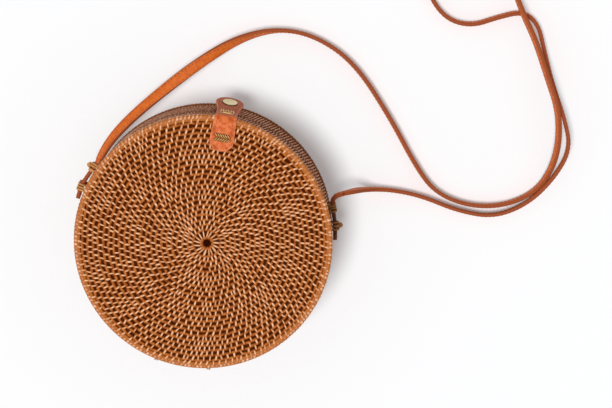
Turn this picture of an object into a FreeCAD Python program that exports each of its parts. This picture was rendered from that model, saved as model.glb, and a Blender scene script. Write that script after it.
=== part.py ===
import FreeCAD, Part
import math
import os

# Round woven bag with a hinged front half, a press-stud clasp and a long leather strap.
# Millimetres. The bag lies on its back: the origin is the centre of the back face,
# +Z points out of the front face, +Y points to the clasp and the hinge is at -Y.

Vector = FreeCAD.Vector
X_AXIS = Vector(1, 0, 0)
Y_AXIS = Vector(0, 1, 0)
Z_AXIS = Vector(0, 0, 1)
ORIGIN = Vector(0, 0, 0)

# Driving dimensions of the two woven halves
BAG_RADIUS = 100.0
BAG_DEPTH = 76.0
BACK_DEPTH = 45.0
PARTING_GAP = 0.3
PANEL_THICKNESS = 4.0
WALL_THICKNESS = 3.4
WALL_INSET = 0.8
COIL_WIDTH = 4.8
COIL_HEIGHT = 4.8
COIL_ROUND = 3.0
BINDING_HEIGHT = 4.2
BINDING_LIP = 0.4
BINDING_ROUND = 1.2
LINING_THICKNESS = 0.8
LINING_SETBACK = 1.0

# Rows of the coiled vine, as flat crests with a groove between them
ROW_PITCH = 3.94
ROW_CREST = 1.7
ROW_DEPTH = 1.5
EYE_BOSS_RADIUS = 8.7
EYE_RADIUS = 3.4
EYE_FLOOR = 1.0

# Fits
SEAT_GAP = 0.05
SOFT_CLEARANCE = 0.3
PIN_CLEARANCE = 0.2

# Cane lashings
CANE_DIAMETER = 1.5
STRAND_GAP = 0.25

# Hinge ties
HINGE_CLEARANCE = 0.3
TIE_OFFSET = 21.0
TIE_STRANDS = 2
TIE_REACH_INSIDE = 1.0
TIE_HOLE_CLEARANCE = 0.25

# Leather clasp
LEATHER = 1.8
FRONT_TAB_WIDTH = 18.6
FRONT_TAB_NECK = 16.4
FRONT_TAB_TIP = 26.5
CREASE_ABOVE_MOUTH = 10.7
FLAP_WIDTH = 22.0
FLAP_LENGTH = 24.6
FLAP_NECK_LENGTH = 2.5
FLAP_REST_ANGLE = 15.5
CREASE_GAP = 0.5
SNAP_DISTANCE = 14.0
BACK_TAB_WIDTH = 18.0
BACK_TAB_ABOVE_STUD = 8.5
BACK_TAB_BELOW_STUD = 27.0

# Press stud
CAP_DIAMETER = 12.5
CAP_HEIGHT = 0.8
CAP_ROUND = 0.7
CAP_POST_DIAMETER = 3.6
SOCKET_DIAMETER = 9.6
SOCKET_HEIGHT = 1.4
SOCKET_BORE = 4.6
STUD_FLANGE_DIAMETER = 9.0
STUD_FLANGE = 0.5
STUD_NECK_DIAMETER = 2.8
STUD_HEAD_DIAMETER = 3.6
STUD_HEIGHT = 1.3
STUD_HEAD_ROUND = 0.45

# Cane stitches that hold the leather
STITCH_DIAMETER = 1.1
STITCH_LENGTH = 6.4
STITCH_PITCH = 1.9
STITCH_COUNT = 6
STITCH_LEAN = 24.0
PATCH_STITCH_LENGTH = 3.8
PATCH_COUNT = 6
PATCH_GAP = 0.3
PATCH_LEAN = 42.0
PATCH_FROM_TIP = 10.5
WALL_STITCH_FROM_END = 9.3
BACK_STITCH_FROM_END = 7.5

# Shoulder strap and its lashed ends
STRAP_WIDTH = 9.0
STRAP_THICKNESS = 3.0
STRAP_STANDOFF = 1.5
STRAP_BELOW_MOUTH = 13.0
TAIL_ROUND = 3.5
LEFT_TAIL_ANGLE = 175.6
LEFT_LEAVE_ANGLE = 157.8
LEFT_KNOT_ANGLES = (160.0, 170.0)
LEFT_BEND_RADIUS = 20.0
LEFT_BEND_TURN = 10.0
RIGHT_TAIL_ANGLE = 8.3
RIGHT_LEAVE_ANGLE = 24.6
RIGHT_KNOT_ANGLES = (22.5, 14.0)
RIGHT_BEND_RADIUS = 5.0
RIGHT_BEND_TURN = 88.0
RIGHT_LEAD = 6.0
KNOT_STRANDS = 4
KNOT_CORNER_RADIUS = 1.4
KNOT_HEAD_RADIUS = 2.3
KNOT_HEAD_LIFT = 1.6

# Route of the free strap between its two lashed ends, chosen by hand
STRAP_ARC_SHARE = 0.45
STRAP_POINTS = (
    (-90.6, 53.5, 31.3),
    (-78.2, 74.8, 28.5),
    (-57.4, 100.5, 23.0),
    (-30.4, 130.4, 16.5),
    (-2.8, 154.9, 10.5),
    (26.7, 167.9, 6.3),
    (57.3, 167.1, 4.7),
    (91.0, 151.9, 4.7),
    (126.3, 115.4, 4.7),
    (155.8, 78.7, 4.7),
    (175.5, 60.8, 4.7),
    (203.9, 55.3, 4.7),
    (232.0, 60.9, 4.7),
    (254.2, 76.5, 4.7),
    (263.6, 96.9, 4.7),
    (264.2, 120.4, 7.0),
    (256.8, 146.5, 14.4),
    (243.3, 169.2, 14.4),
    (228.1, 195.9, 14.4),
    (212.4, 216.7, 14.4),
    (199.8, 237.9, 10.6),
    (182.0, 254.2, 5.5),
    (156.0, 256.1, 4.7),
    (136.8, 241.9, 4.7),
    (134.5, 220.9, 4.7),
    (153.2, 200.6, 4.7),
    (175.6, 197.8, 4.7),
    (196.3, 209.4, 4.7),
    (214.4, 217.2, 4.7),
    (228.3, 209.4, 4.7),
    (237.5, 189.3, 4.7),
    (249.6, 165.1, 4.7),
    (264.7, 139.9, 4.7),
    (274.7, 117.2, 4.7),
    (268.0, 93.3, 4.7),
    (251.6, 67.1, 4.7),
    (225.8, 50.0, 4.7),
    (194.8, 49.9, 4.7),
    (165.9, 56.1, 4.7),
    (141.9, 57.7, 9.6),
    (125.1, 56.8, 19.5),
    (114.3, 55.8, 27.0),
    (107.3, 54.1, 31.2),
)

# Places that follow from the driving dimensions
WALL_OUTER = BAG_RADIUS - WALL_INSET
WALL_INNER = WALL_OUTER - WALL_THICKNESS
PANEL_RADIUS = BAG_RADIUS - COIL_WIDTH
BINDING_INNER = WALL_INNER - BINDING_LIP
LINING_OUTER = min(PANEL_RADIUS, BINDING_INNER) - PIN_CLEARANCE
LINING_INNER = LINING_OUTER - LINING_THICKNESS
FRONT_DEPTH = BAG_DEPTH - BACK_DEPTH
STRAND_PITCH = CANE_DIAMETER + STRAND_GAP
HINGE_Y = -(BAG_RADIUS + HINGE_CLEARANCE)
TIE_RADIUS = -HINGE_Y - math.sqrt(LINING_INNER**2 - TIE_OFFSET**2) + TIE_REACH_INSIDE
TAB_INNER = BAG_RADIUS + SOFT_CLEARANCE
TAB_OUTER = TAB_INNER + LEATHER
TAB_TOP = BAG_DEPTH + SOFT_CLEARANCE + LEATHER
TAB_TIP_Y = BAG_RADIUS - FRONT_TAB_TIP
TAB_END_Z = BACK_DEPTH + CREASE_ABOVE_MOUTH
FLAP_AXIS_Y = TAB_OUTER
FLAP_AXIS_Z = TAB_END_Z - CREASE_GAP - LEATHER / 2
BACK_TAB_INNER = WALL_OUTER + SOFT_CLEARANCE
BACK_TAB_OUTER = BACK_TAB_INNER + LEATHER
REST_ANGLE = math.radians(FLAP_REST_ANGLE)
STUD_Z = (
    FLAP_AXIS_Z
    - SNAP_DISTANCE * math.cos(REST_ANGLE)
    - (LEATHER / 2 + SOCKET_HEIGHT) * math.sin(REST_ANGLE)
)
STRAP_RADIUS = WALL_OUTER + STRAP_STANDOFF + STRAP_THICKNESS / 2
STRAP_HEIGHT = BACK_DEPTH - STRAP_BELOW_MOUTH


def save(shape, name):
    shape.exportStep("parts/" + name + ".step")


def polar(radius, degrees, z=0.0):
    angle = math.radians(degrees)
    return Vector(radius * math.cos(angle), radius * math.sin(angle), z)


def ring(inner, outer, low, high):
    height = high - low
    base = Vector(0, 0, low)
    return Part.makeCylinder(outer, height, base).cut(Part.makeCylinder(inner, height, base))


def circles(shape, radius, z):
    found = []
    for edge in shape.Edges:
        if not isinstance(edge.Curve, Part.Circle):
            continue
        if abs(edge.Curve.Radius - radius) < 1e-4 and abs(edge.Curve.Center.z - z) < 1e-4:
            found.append(edge)
    return found


def turned_over(shape):
    # The front half is laid out like the back half and turned over onto it.
    copy = shape.copy()
    copy.rotate(ORIGIN, X_AXIS, 180)
    copy.translate(Vector(0, 0, BAG_DEPTH))
    return copy


# The woven halves, laid out with their outer face at z = 0 and their mouth upwards


def row_corners(first, last):
    # Corners of the section across the rows, as places across them and depths below the crests.
    count = max(1, round((last - first) / ROW_PITCH))
    pitch = (last - first) / count
    slope = row_slope(pitch)
    corners = [(first, ROW_DEPTH)]
    for i in range(count):
        start = first + i * pitch
        corners += [(start + slope, 0), (start + pitch - slope, 0), (start + pitch, ROW_DEPTH)]
    return corners


def row_slope(pitch):
    return max(pitch - ROW_CREST, 0.2 * pitch) / 2


def turned_section(corners):
    points = [Vector(r, 0, z) for r, z in corners]
    return Part.Face(Part.makePolygon(points + points[:1])).revolve(ORIGIN, Z_AXIS, 360)


def make_panel():
    edge = PANEL_RADIUS - SEAT_GAP
    flat = EYE_BOSS_RADIUS - row_slope(ROW_PITCH)
    rows = row_corners(EYE_BOSS_RADIUS, edge)
    return turned_section([(0, 0), (flat, 0)] + rows + [(edge, PANEL_THICKNESS), (0, PANEL_THICKNESS)])


def make_front_panel():
    return make_panel().cut(Part.makeCylinder(EYE_RADIUS, PANEL_THICKNESS - EYE_FLOOR))


def make_corner_coil():
    coil = ring(PANEL_RADIUS, BAG_RADIUS, 0, COIL_HEIGHT)
    coil = coil.makeFillet(min(COIL_ROUND, COIL_HEIGHT * 0.7), circles(coil, BAG_RADIUS, 0))
    return coil.makeFillet(WALL_INSET * 0.9, circles(coil, BAG_RADIUS, COIL_HEIGHT))


def make_wall(depth):
    top = depth - PARTING_GAP / 2 - BINDING_HEIGHT
    rows = [(WALL_OUTER - below, z) for z, below in row_corners(COIL_HEIGHT, top)]
    return turned_section([(WALL_INNER, COIL_HEIGHT)] + rows + [(WALL_INNER, top)])


def make_rim_binding(depth):
    top = depth - PARTING_GAP / 2
    binding = ring(BINDING_INNER, WALL_OUTER, top - BINDING_HEIGHT, top)
    edges = circles(binding, BINDING_INNER, top) + circles(binding, WALL_OUTER, top)
    return binding.makeFillet(BINDING_ROUND, edges)


def make_lining(depth):
    low = PANEL_THICKNESS + PIN_CLEARANCE
    top = depth - PARTING_GAP / 2 - LINING_SETBACK
    floor = low + LINING_THICKNESS
    cup = Part.makeCylinder(LINING_OUTER, top - low, Vector(0, 0, low))
    return cup.cut(Part.makeCylinder(LINING_INNER, top - floor, Vector(0, 0, floor)))


# Hinge ties: closed cane rings round the hinge axis, through both walls


def tie_positions(side):
    first = -(TIE_STRANDS - 1) / 2
    return [side * TIE_OFFSET + (first + i) * STRAND_PITCH for i in range(TIE_STRANDS)]


def tie_rings(side, thickness):
    rings = []
    for x in tie_positions(side):
        centre = Vector(x, HINGE_Y, BACK_DEPTH)
        rings.append(Part.makeTorus(TIE_RADIUS, thickness / 2, centre, X_AXIS))
    return rings


def without_tie_holes(shape):
    thickness = CANE_DIAMETER + 2 * TIE_HOLE_CLEARANCE
    return shape.cut(tie_rings(-1, thickness) + tie_rings(1, thickness))


# Leather clasp


def clasp_sector(profile):
    # Turns a profile drawn in the plane of the clasp about the bag's axis.
    half_width = math.degrees(math.asin(FLAP_WIDTH / BAG_RADIUS))
    face = Part.Face(profile)
    face.rotate(ORIGIN, Z_AXIS, -half_width)
    return face.revolve(ORIGIN, Z_AXIS, 2 * half_width)


def bent_profile():
    corner_y = BAG_RADIUS - COIL_ROUND
    corner_z = BAG_DEPTH - COIL_ROUND
    inner = COIL_ROUND + SOFT_CLEARANCE
    outer = inner + LEATHER
    diagonal = math.sqrt(0.5)
    start_y = TAB_TIP_Y - LEATHER

    def at(radius, share_y, share_z):
        return Vector(0, corner_y + radius * share_y, corner_z + radius * share_z)

    inner_start = Vector(0, start_y, corner_z + inner)
    outer_start = Vector(0, start_y, corner_z + outer)
    inner_end = Vector(0, corner_y + inner, TAB_END_Z)
    outer_end = Vector(0, corner_y + outer, TAB_END_Z)
    edges = [
        Part.LineSegment(inner_start, at(inner, 0, 1)).toShape(),
        Part.Arc(at(inner, 0, 1), at(inner, diagonal, diagonal), at(inner, 1, 0)).toShape(),
        Part.LineSegment(at(inner, 1, 0), inner_end).toShape(),
        Part.LineSegment(inner_end, outer_end).toShape(),
        Part.LineSegment(outer_end, at(outer, 1, 0)).toShape(),
        Part.Arc(at(outer, 1, 0), at(outer, diagonal, diagonal), at(outer, 0, 1)).toShape(),
        Part.LineSegment(at(outer, 0, 1), outer_start).toShape(),
        Part.LineSegment(outer_start, inner_start).toShape(),
    ]
    return Part.Wire(edges)


def rounded_outline(half_tip, half_end, tip, end):
    # A tongue with a half-round tip towards -v and a straight end at +v, as (u, v) corners.
    centre = tip + half_tip
    arc = Part.Arc(Vector(-half_tip, centre, 0), Vector(0, tip, 0), Vector(half_tip, centre, 0))
    corners = [
        Vector(half_tip, centre, 0),
        Vector(half_end, end, 0),
        Vector(-half_end, end, 0),
        Vector(-half_tip, centre, 0),
    ]
    lines = [Part.LineSegment(a, b).toShape() for a, b in zip(corners, corners[1:])]
    return Part.Face(Part.Wire([arc.toShape()] + lines))


def make_front_tab():
    outline = rounded_outline(
        FRONT_TAB_WIDTH / 2, FRONT_TAB_NECK / 2, TAB_TIP_Y, TAB_OUTER + LEATHER
    )
    prism = outline.extrude(Vector(0, 0, BAG_DEPTH))
    prism.translate(Vector(0, 0, TAB_TOP + LEATHER - BAG_DEPTH))
    return clasp_sector(bent_profile()).common(prism)


def make_back_tab():
    low = STUD_Z - BACK_TAB_BELOW_STUD
    high = STUD_Z + BACK_TAB_ABOVE_STUD
    shell = ring(BACK_TAB_INNER, BACK_TAB_OUTER, low, high)
    half = BACK_TAB_WIDTH / 2
    outline = rounded_outline(half, half, -high, -low)
    prism = outline.extrude(Vector(0, 0, BACK_TAB_OUTER))
    prism.rotate(ORIGIN, X_AXIS, -90)
    hole = Part.makeCylinder(
        STUD_NECK_DIAMETER / 2 + PIN_CLEARANCE, BACK_TAB_OUTER, Vector(0, 0, STUD_Z), Y_AXIS
    )
    return shell.common(prism).cut(hole)


def on_flap(shape):
    # Flap pieces are drawn hanging from the hinge axis, then swung out and moved to it.
    shape.rotate(ORIGIN, X_AXIS, FLAP_REST_ANGLE)
    shape.translate(Vector(0, FLAP_AXIS_Y, FLAP_AXIS_Z))
    return shape


def make_flap_leather():
    half = FLAP_WIDTH / 2
    neck = FRONT_TAB_NECK / 2
    outline = rounded_outline(half, neck, 0, FLAP_LENGTH - FLAP_NECK_LENGTH)
    plate = outline.extrude(Vector(0, 0, LEATHER))
    plate.translate(Vector(0, -FLAP_LENGTH, -LEATHER / 2))
    plate.rotate(ORIGIN, X_AXIS, 90)
    neck_plate = Part.makeBox(
        2 * neck, LEATHER, FLAP_NECK_LENGTH, Vector(-neck, -LEATHER / 2, -FLAP_NECK_LENGTH)
    )
    roll = Part.makeCylinder(LEATHER / 2, 2 * neck, Vector(-neck, 0, 0), X_AXIS)
    hole = Part.makeCylinder(
        CAP_POST_DIAMETER / 2 + PIN_CLEARANCE,
        2 * LEATHER,
        Vector(0, -LEATHER, -SNAP_DISTANCE),
        Y_AXIS,
    )
    flap = plate.fuse([neck_plate, roll]).removeSplitter().cut(hole)
    return on_flap(flap)


def make_snap_cap():
    face_y = LEATHER / 2 + SEAT_GAP
    cap = Part.makeCylinder(
        CAP_DIAMETER / 2, CAP_HEIGHT, Vector(0, face_y, -SNAP_DISTANCE), Y_AXIS
    )
    rim = [e for e in cap.Edges if e.BoundBox.YMin > face_y + CAP_HEIGHT / 2]
    cap = cap.makeFillet(min(CAP_ROUND, CAP_HEIGHT * 0.9), rim)
    post = Part.makeCylinder(
        CAP_POST_DIAMETER / 2,
        LEATHER + SEAT_GAP,
        Vector(0, -LEATHER / 2, -SNAP_DISTANCE),
        Y_AXIS,
    )
    return on_flap(cap.fuse(post))


def make_snap_socket():
    base = Vector(0, -LEATHER / 2 - SEAT_GAP, -SNAP_DISTANCE)
    height = SOCKET_HEIGHT - SEAT_GAP
    socket = Part.makeCylinder(SOCKET_DIAMETER / 2, height, base, -Y_AXIS)
    return on_flap(socket.cut(Part.makeCylinder(SOCKET_BORE / 2, height, base, -Y_AXIS)))


def make_snap_stud():
    # A rivet through the back tab with a flange on the leather and a round head, turned as one.
    neck = STUD_NECK_DIAMETER / 2
    flange = STUD_FLANGE_DIAMETER / 2
    head = STUD_HEAD_DIAMETER / 2
    seat = BACK_TAB_OUTER + SEAT_GAP
    flange_top = seat + STUD_FLANGE
    tip = flange_top + STUD_HEIGHT
    shoulder = tip - STUD_HEAD_ROUND
    cut = STUD_HEAD_ROUND * (1 - math.sqrt(0.5))
    corners = [
        Vector(0, tip, 0),
        Vector(0, BACK_TAB_INNER, 0),
        Vector(neck, BACK_TAB_INNER, 0),
        Vector(neck, seat, 0),
        Vector(flange, seat, 0),
        Vector(flange, flange_top, 0),
        Vector(neck, flange_top, 0),
        Vector(head, shoulder, 0),
    ]
    edges = [Part.LineSegment(a, b).toShape() for a, b in zip(corners, corners[1:])]
    crown = Vector(head - STUD_HEAD_ROUND, tip, 0)
    edges.append(Part.Arc(corners[-1], Vector(head - cut, tip - cut, 0), crown).toShape())
    edges.append(Part.LineSegment(crown, corners[0]).toShape())
    stud = Part.Face(Part.Wire(edges)).revolve(ORIGIN, Y_AXIS, 360)
    stud.translate(Vector(0, 0, STUD_Z))
    return stud


# Cane stitches on the leather


def stitch_bar(length):
    # A round-ended bar along Z, centred on the origin.
    radius = STITCH_DIAMETER / 2
    core = Part.makeCylinder(radius, length - 2 * radius, Vector(0, 0, radius - length / 2))
    ends = [Part.makeSphere(radius, Vector(0, 0, s * (length / 2 - radius))) for s in (-1, 1)]
    return core.fuse(ends).removeSplitter()


def zigzag_on_wall(surface_radius, z):
    # A row of bars that lean to alternate sides, each square to the curved leather.
    bars = []
    radius = surface_radius + SEAT_GAP + STITCH_DIAMETER / 2
    for i in range(STITCH_COUNT):
        lean = STITCH_LEAN if i % 2 else -STITCH_LEAN
        offset = (i - (STITCH_COUNT - 1) / 2) * STITCH_PITCH
        bar = stitch_bar(STITCH_LENGTH)
        bar.rotate(ORIGIN, Y_AXIS, lean / 2)
        bar.translate(Vector(0, radius, z))
        bar.rotate(ORIGIN, Z_AXIS, -math.degrees(offset / radius))
        bars.append(bar)
    return Part.makeCompound(bars)


def herringbone_on_panel():
    # Two rows of short bars that lean against each other, with a slit between the bars.
    bars = []
    upright = math.cos(math.radians(PATCH_LEAN))
    pitch = (STITCH_DIAMETER + PATCH_GAP) / upright
    row_pitch = (PATCH_STITCH_LENGTH - STITCH_DIAMETER) * upright + STITCH_DIAMETER + SEAT_GAP
    z = TAB_TOP + SEAT_GAP + STITCH_DIAMETER / 2
    for row, lean in ((-0.5, -PATCH_LEAN), (0.5, PATCH_LEAN)):
        y = TAB_TIP_Y + PATCH_FROM_TIP + row * row_pitch
        for i in range(PATCH_COUNT):
            bar = stitch_bar(PATCH_STITCH_LENGTH)
            bar.rotate(ORIGIN, X_AXIS, 90)
            bar.rotate(ORIGIN, Z_AXIS, lean)
            bar.translate(Vector((i - (PATCH_COUNT - 1) / 2) * pitch, y, z))
            bars.append(bar)
    return Part.makeCompound(bars)


# Strap


def strap_section(place, direction):
    # The strap stands on its edge: thickness across the route, width upright.
    flat = Vector(direction.x, direction.y, 0).normalize()
    across = flat.cross(Z_AXIS) * (STRAP_THICKNESS / 2)
    up = Z_AXIS * (STRAP_WIDTH / 2)
    corners = [place + across + up, place - across + up, place - across - up, place + across - up]
    return Part.makePolygon(corners + corners[:1])


def strap_solid(route):
    start = route.OrderedEdges[0]
    section = strap_section(start.valueAt(start.FirstParameter), start.tangentAt(start.FirstParameter))
    sweep = Part.BRepOffsetAPI.MakePipeShell(route)
    sweep.setBiNormalMode(Z_AXIS)
    sweep.add(section)
    sweep.build()
    sweep.makeSolid()
    return sweep.shape()


def free_route(points):
    # Straight runs joined by tangent arcs as large as the two runs allow.
    edges = []
    radii = []
    last = points[0]
    for before, corner, after in zip(points, points[1:], points[2:]):
        back = before - corner
        ahead = after - corner
        trim = STRAP_ARC_SHARE * min(back.Length, ahead.Length)
        turn = math.pi - back.getAngle(ahead)
        radius = trim / math.tan(turn / 2)
        back.normalize()
        ahead.normalize()
        inward = (back + ahead).normalize()
        sagitta = radius / math.cos(turn / 2) - radius
        start = corner + back * trim
        edges.append(Part.LineSegment(last, start).toShape())
        last = corner + ahead * trim
        edges.append(Part.Arc(start, corner + inward * sagitta, last).toShape())
        radii.append(radius)
    edges.append(Part.LineSegment(last, points[-1]).toShape())
    return Part.Wire(edges), radii


def bend(start, heading, radius, turn):
    # A level arc that leaves start along heading and turns left by turn degrees.
    side = 1 if turn > 0 else -1
    centre = start + polar(radius, heading + 90 * side)
    half = start - centre
    full = start - centre
    spin = FreeCAD.Rotation(Z_AXIS, turn / 2)
    half = spin.multVec(half)
    full = spin.multVec(spin.multVec(full))
    return Part.Arc(start, centre + half, centre + full).toShape(), centre + full


def wall_arc(from_degrees, to_degrees):
    middle = (from_degrees + to_degrees) / 2
    ends = [polar(STRAP_RADIUS, a, STRAP_HEIGHT) for a in (from_degrees, middle, to_degrees)]
    return Part.Arc(*ends).toShape()


def round_tail(solid, tail_degrees):
    across = polar(1, tail_degrees)
    tail = polar(STRAP_RADIUS, tail_degrees, STRAP_HEIGHT)
    edges = []
    for edge in solid.Edges:
        if not isinstance(edge.Curve, Part.Line):
            continue
        near = (edge.CenterOfMass - tail).Length < STRAP_WIDTH
        if near and abs(edge.Curve.Direction.dot(across)) > 0.99:
            edges.append(edge)
    return solid.makeFillet(TAIL_ROUND, edges)


def make_left_end():
    leave = polar(STRAP_RADIUS, LEFT_LEAVE_ANGLE, STRAP_HEIGHT)
    turn, end = bend(leave, LEFT_LEAVE_ANGLE - 90, LEFT_BEND_RADIUS, LEFT_BEND_TURN)
    solid = strap_solid(Part.Wire([wall_arc(LEFT_TAIL_ANGLE, LEFT_LEAVE_ANGLE), turn]))
    heading = LEFT_LEAVE_ANGLE - 90 + LEFT_BEND_TURN
    return round_tail(solid, LEFT_TAIL_ANGLE), end + polar(PIN_CLEARANCE, heading)


def make_right_end():
    leave = polar(STRAP_RADIUS, RIGHT_LEAVE_ANGLE, STRAP_HEIGHT)
    heading = RIGHT_LEAVE_ANGLE + 90
    turn, end = bend(leave, heading, RIGHT_BEND_RADIUS, -RIGHT_BEND_TURN)
    away = heading - RIGHT_BEND_TURN
    lead = Part.LineSegment(end, end + polar(RIGHT_LEAD, away)).toShape()
    solid = strap_solid(Part.Wire([wall_arc(RIGHT_TAIL_ANGLE, RIGHT_LEAVE_ANGLE), turn, lead]))
    return round_tail(solid, RIGHT_TAIL_ANGLE), end + polar(RIGHT_LEAD + PIN_CLEARANCE, away)


# Cane knots that lash the strap ends to the back wall


def knot_height():
    return STRAP_WIDTH / 2 + SOFT_CLEARANCE + CANE_DIAMETER / 2


def knot_reach():
    return STRAP_RADIUS + STRAP_THICKNESS / 2 + SOFT_CLEARANCE + CANE_DIAMETER / 2


def strand_angles(degrees):
    step = math.degrees(STRAND_PITCH / STRAP_RADIUS)
    first = -(KNOT_STRANDS - 1) / 2
    return [degrees + (first + i) * step for i in range(KNOT_STRANDS)]


def knot_strand():
    # One turn of cane round the strap, drawn in the XZ plane, with both legs in the wall.
    high = knot_height()
    reach = knot_reach()
    corner = KNOT_CORNER_RADIUS
    leg_end = WALL_INNER + SEAT_GAP
    cut = corner * (1 - math.sqrt(0.5))
    points = [
        Vector(leg_end, 0, -high),
        Vector(reach - corner, 0, -high),
        Vector(reach - cut, 0, -high + cut),
        Vector(reach, 0, -high + corner),
        Vector(reach, 0, high - corner),
        Vector(reach - cut, 0, high - cut),
        Vector(reach - corner, 0, high),
        Vector(leg_end, 0, high),
    ]
    route = Part.Wire([
        Part.LineSegment(points[0], points[1]).toShape(),
        Part.Arc(points[1], points[2], points[3]).toShape(),
        Part.LineSegment(points[3], points[4]).toShape(),
        Part.Arc(points[4], points[5], points[6]).toShape(),
        Part.LineSegment(points[6], points[7]).toShape(),
    ])
    section = Part.Wire(Part.makeCircle(CANE_DIAMETER / 2, points[0], X_AXIS))
    return route.makePipeShell([section], True, False)


def make_knot(degrees, with_head):
    strands = []
    for angle in strand_angles(0):
        strand = knot_strand()
        strand.rotate(ORIGIN, Z_AXIS, angle)
        strands.append(strand)
    knot = Part.makeCompound(strands)
    if with_head:
        head = Part.makeSphere(KNOT_HEAD_RADIUS, Vector(knot_reach() + KNOT_HEAD_LIFT, 0, 0))
        knot = head.fuse(strands)
    knot.rotate(ORIGIN, Z_AXIS, degrees)
    knot.translate(Vector(0, 0, STRAP_HEIGHT))
    return knot


def knot_holes(degrees):
    holes = []
    radius = CANE_DIAMETER / 2 + PIN_CLEARANCE
    for angle in strand_angles(degrees):
        for side in (-1, 1):
            base = polar(LINING_OUTER, angle, STRAP_HEIGHT + side * knot_height())
            holes.append(Part.makeCylinder(radius, BAG_RADIUS - LINING_OUTER, base, polar(1, angle)))
    return holes


# Build and write every piece

os.makedirs("parts", exist_ok=True)

all_holes = []
for knot_angle in LEFT_KNOT_ANGLES + RIGHT_KNOT_ANGLES:
    all_holes += knot_holes(knot_angle)

save(make_panel(), "back_panel")
save(make_corner_coil(), "back_corner_coil")
save(without_tie_holes(make_wall(BACK_DEPTH)).cut(all_holes), "back_wall")
save(without_tie_holes(make_rim_binding(BACK_DEPTH)).cut(all_holes), "back_rim_binding")
save(without_tie_holes(make_lining(BACK_DEPTH)), "back_lining")

save(turned_over(make_front_panel()), "front_panel")
save(turned_over(make_corner_coil()), "front_corner_coil")
save(without_tie_holes(turned_over(make_wall(FRONT_DEPTH))), "front_wall")
save(without_tie_holes(turned_over(make_rim_binding(FRONT_DEPTH))), "front_rim_binding")
save(without_tie_holes(turned_over(make_lining(FRONT_DEPTH))), "front_lining")

save(Part.makeCompound(tie_rings(-1, CANE_DIAMETER)), "hinge_tie_left")
save(Part.makeCompound(tie_rings(1, CANE_DIAMETER)), "hinge_tie_right")

save(make_front_tab(), "front_tab")
save(herringbone_on_panel(), "front_tab_panel_stitch")
save(zigzag_on_wall(TAB_OUTER, TAB_END_Z + WALL_STITCH_FROM_END), "front_tab_wall_stitch")
save(make_flap_leather(), "flap_leather")
save(make_snap_cap(), "snap_cap")
save(make_snap_socket(), "snap_socket")
save(make_back_tab(), "back_tab")
back_stitch_z = STUD_Z - BACK_TAB_BELOW_STUD + BACK_STITCH_FROM_END
save(zigzag_on_wall(BACK_TAB_OUTER, back_stitch_z), "back_tab_stitch")
save(make_snap_stud(), "snap_stud")

left_end, left_exit = make_left_end()
right_end, right_exit = make_right_end()
save(left_end, "strap_end_left")
save(right_end, "strap_end_right")
save(make_knot(LEFT_KNOT_ANGLES[0], True), "strap_knot_left_upper")
save(make_knot(LEFT_KNOT_ANGLES[1], False), "strap_knot_left_lower")
save(make_knot(RIGHT_KNOT_ANGLES[0], False), "strap_knot_right_upper")
save(make_knot(RIGHT_KNOT_ANGLES[1], True), "strap_knot_right_lower")

strap_points = [left_exit] + [Vector(*p) for p in STRAP_POINTS] + [right_exit]
route, route_radii = free_route(strap_points)
strap = strap_solid(route)
save(strap, "shoulder_strap")

print("strap exits", left_exit, right_exit)
print("strap length", round(route.Length, 1), "radii", [round(r) for r in route_radii])
expected = STRAP_WIDTH * STRAP_THICKNESS * route.Length
print("strap volume over section times length", round(strap.Volume / expected, 4))
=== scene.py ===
"""Looks of a round woven shoulder bag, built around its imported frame.

The classes hold their sizes in millimetres. Meshes are written in metres, in the frame's own axes:
the bag lies on its back, +Z points out of its front face and +Y points to the clasp.
"""

import logging
import math
import random
from dataclasses import dataclass, field, replace
from enum import Enum
from typing import Iterator, Sequence

import bmesh
import bpy
import numpy as np
from bpy.types import ID, Material, Mesh, Node, NodeSocket, NodeTree, Object, Scene
from mathutils import Matrix, Vector

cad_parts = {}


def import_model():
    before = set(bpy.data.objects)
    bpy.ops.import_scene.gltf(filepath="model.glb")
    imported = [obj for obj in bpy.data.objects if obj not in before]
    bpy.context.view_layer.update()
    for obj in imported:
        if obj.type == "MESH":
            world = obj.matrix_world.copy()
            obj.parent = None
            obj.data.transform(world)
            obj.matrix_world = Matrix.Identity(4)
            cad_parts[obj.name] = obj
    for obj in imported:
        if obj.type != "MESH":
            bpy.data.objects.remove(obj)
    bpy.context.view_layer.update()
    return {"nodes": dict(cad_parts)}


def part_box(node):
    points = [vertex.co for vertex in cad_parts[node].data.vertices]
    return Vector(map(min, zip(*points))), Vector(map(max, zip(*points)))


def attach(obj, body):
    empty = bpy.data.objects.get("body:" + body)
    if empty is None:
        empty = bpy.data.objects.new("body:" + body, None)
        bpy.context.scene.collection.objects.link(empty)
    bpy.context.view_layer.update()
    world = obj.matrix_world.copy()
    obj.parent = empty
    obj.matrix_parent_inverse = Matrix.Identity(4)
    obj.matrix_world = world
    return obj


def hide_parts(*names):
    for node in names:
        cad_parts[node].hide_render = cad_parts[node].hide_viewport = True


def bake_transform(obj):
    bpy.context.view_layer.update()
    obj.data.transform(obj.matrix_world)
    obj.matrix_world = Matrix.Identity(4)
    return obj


LOG = logging.getLogger("woven_bag")
MM = 0.001
TAU = 2 * math.pi
UP = np.array((0.0, 0.0, 1.0))
AS_IS = (1.0, 1.0, 1.0)  # the stretch of a strand that keeps its own sizes
UV_UNIT = 100.0  # millimetres to one unit of a UV map
COIL_FIBRE = 0.2  # fibre coordinates to one millimetre of a coil
TUBE_FIBRE = 0.25  # fibre coordinates to one millimetre along a tube

Colour = tuple[float, float, float]
Faces = list[tuple[int, ...]]


class Half(Enum):
    """The two halves of the bag, by the frame body that carries each."""

    BACK = "back_half"
    FRONT = "front_half"

    @property
    def prefix(self) -> str:
        """The word that starts the names of this half's pieces."""
        return self.name.lower()


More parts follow.
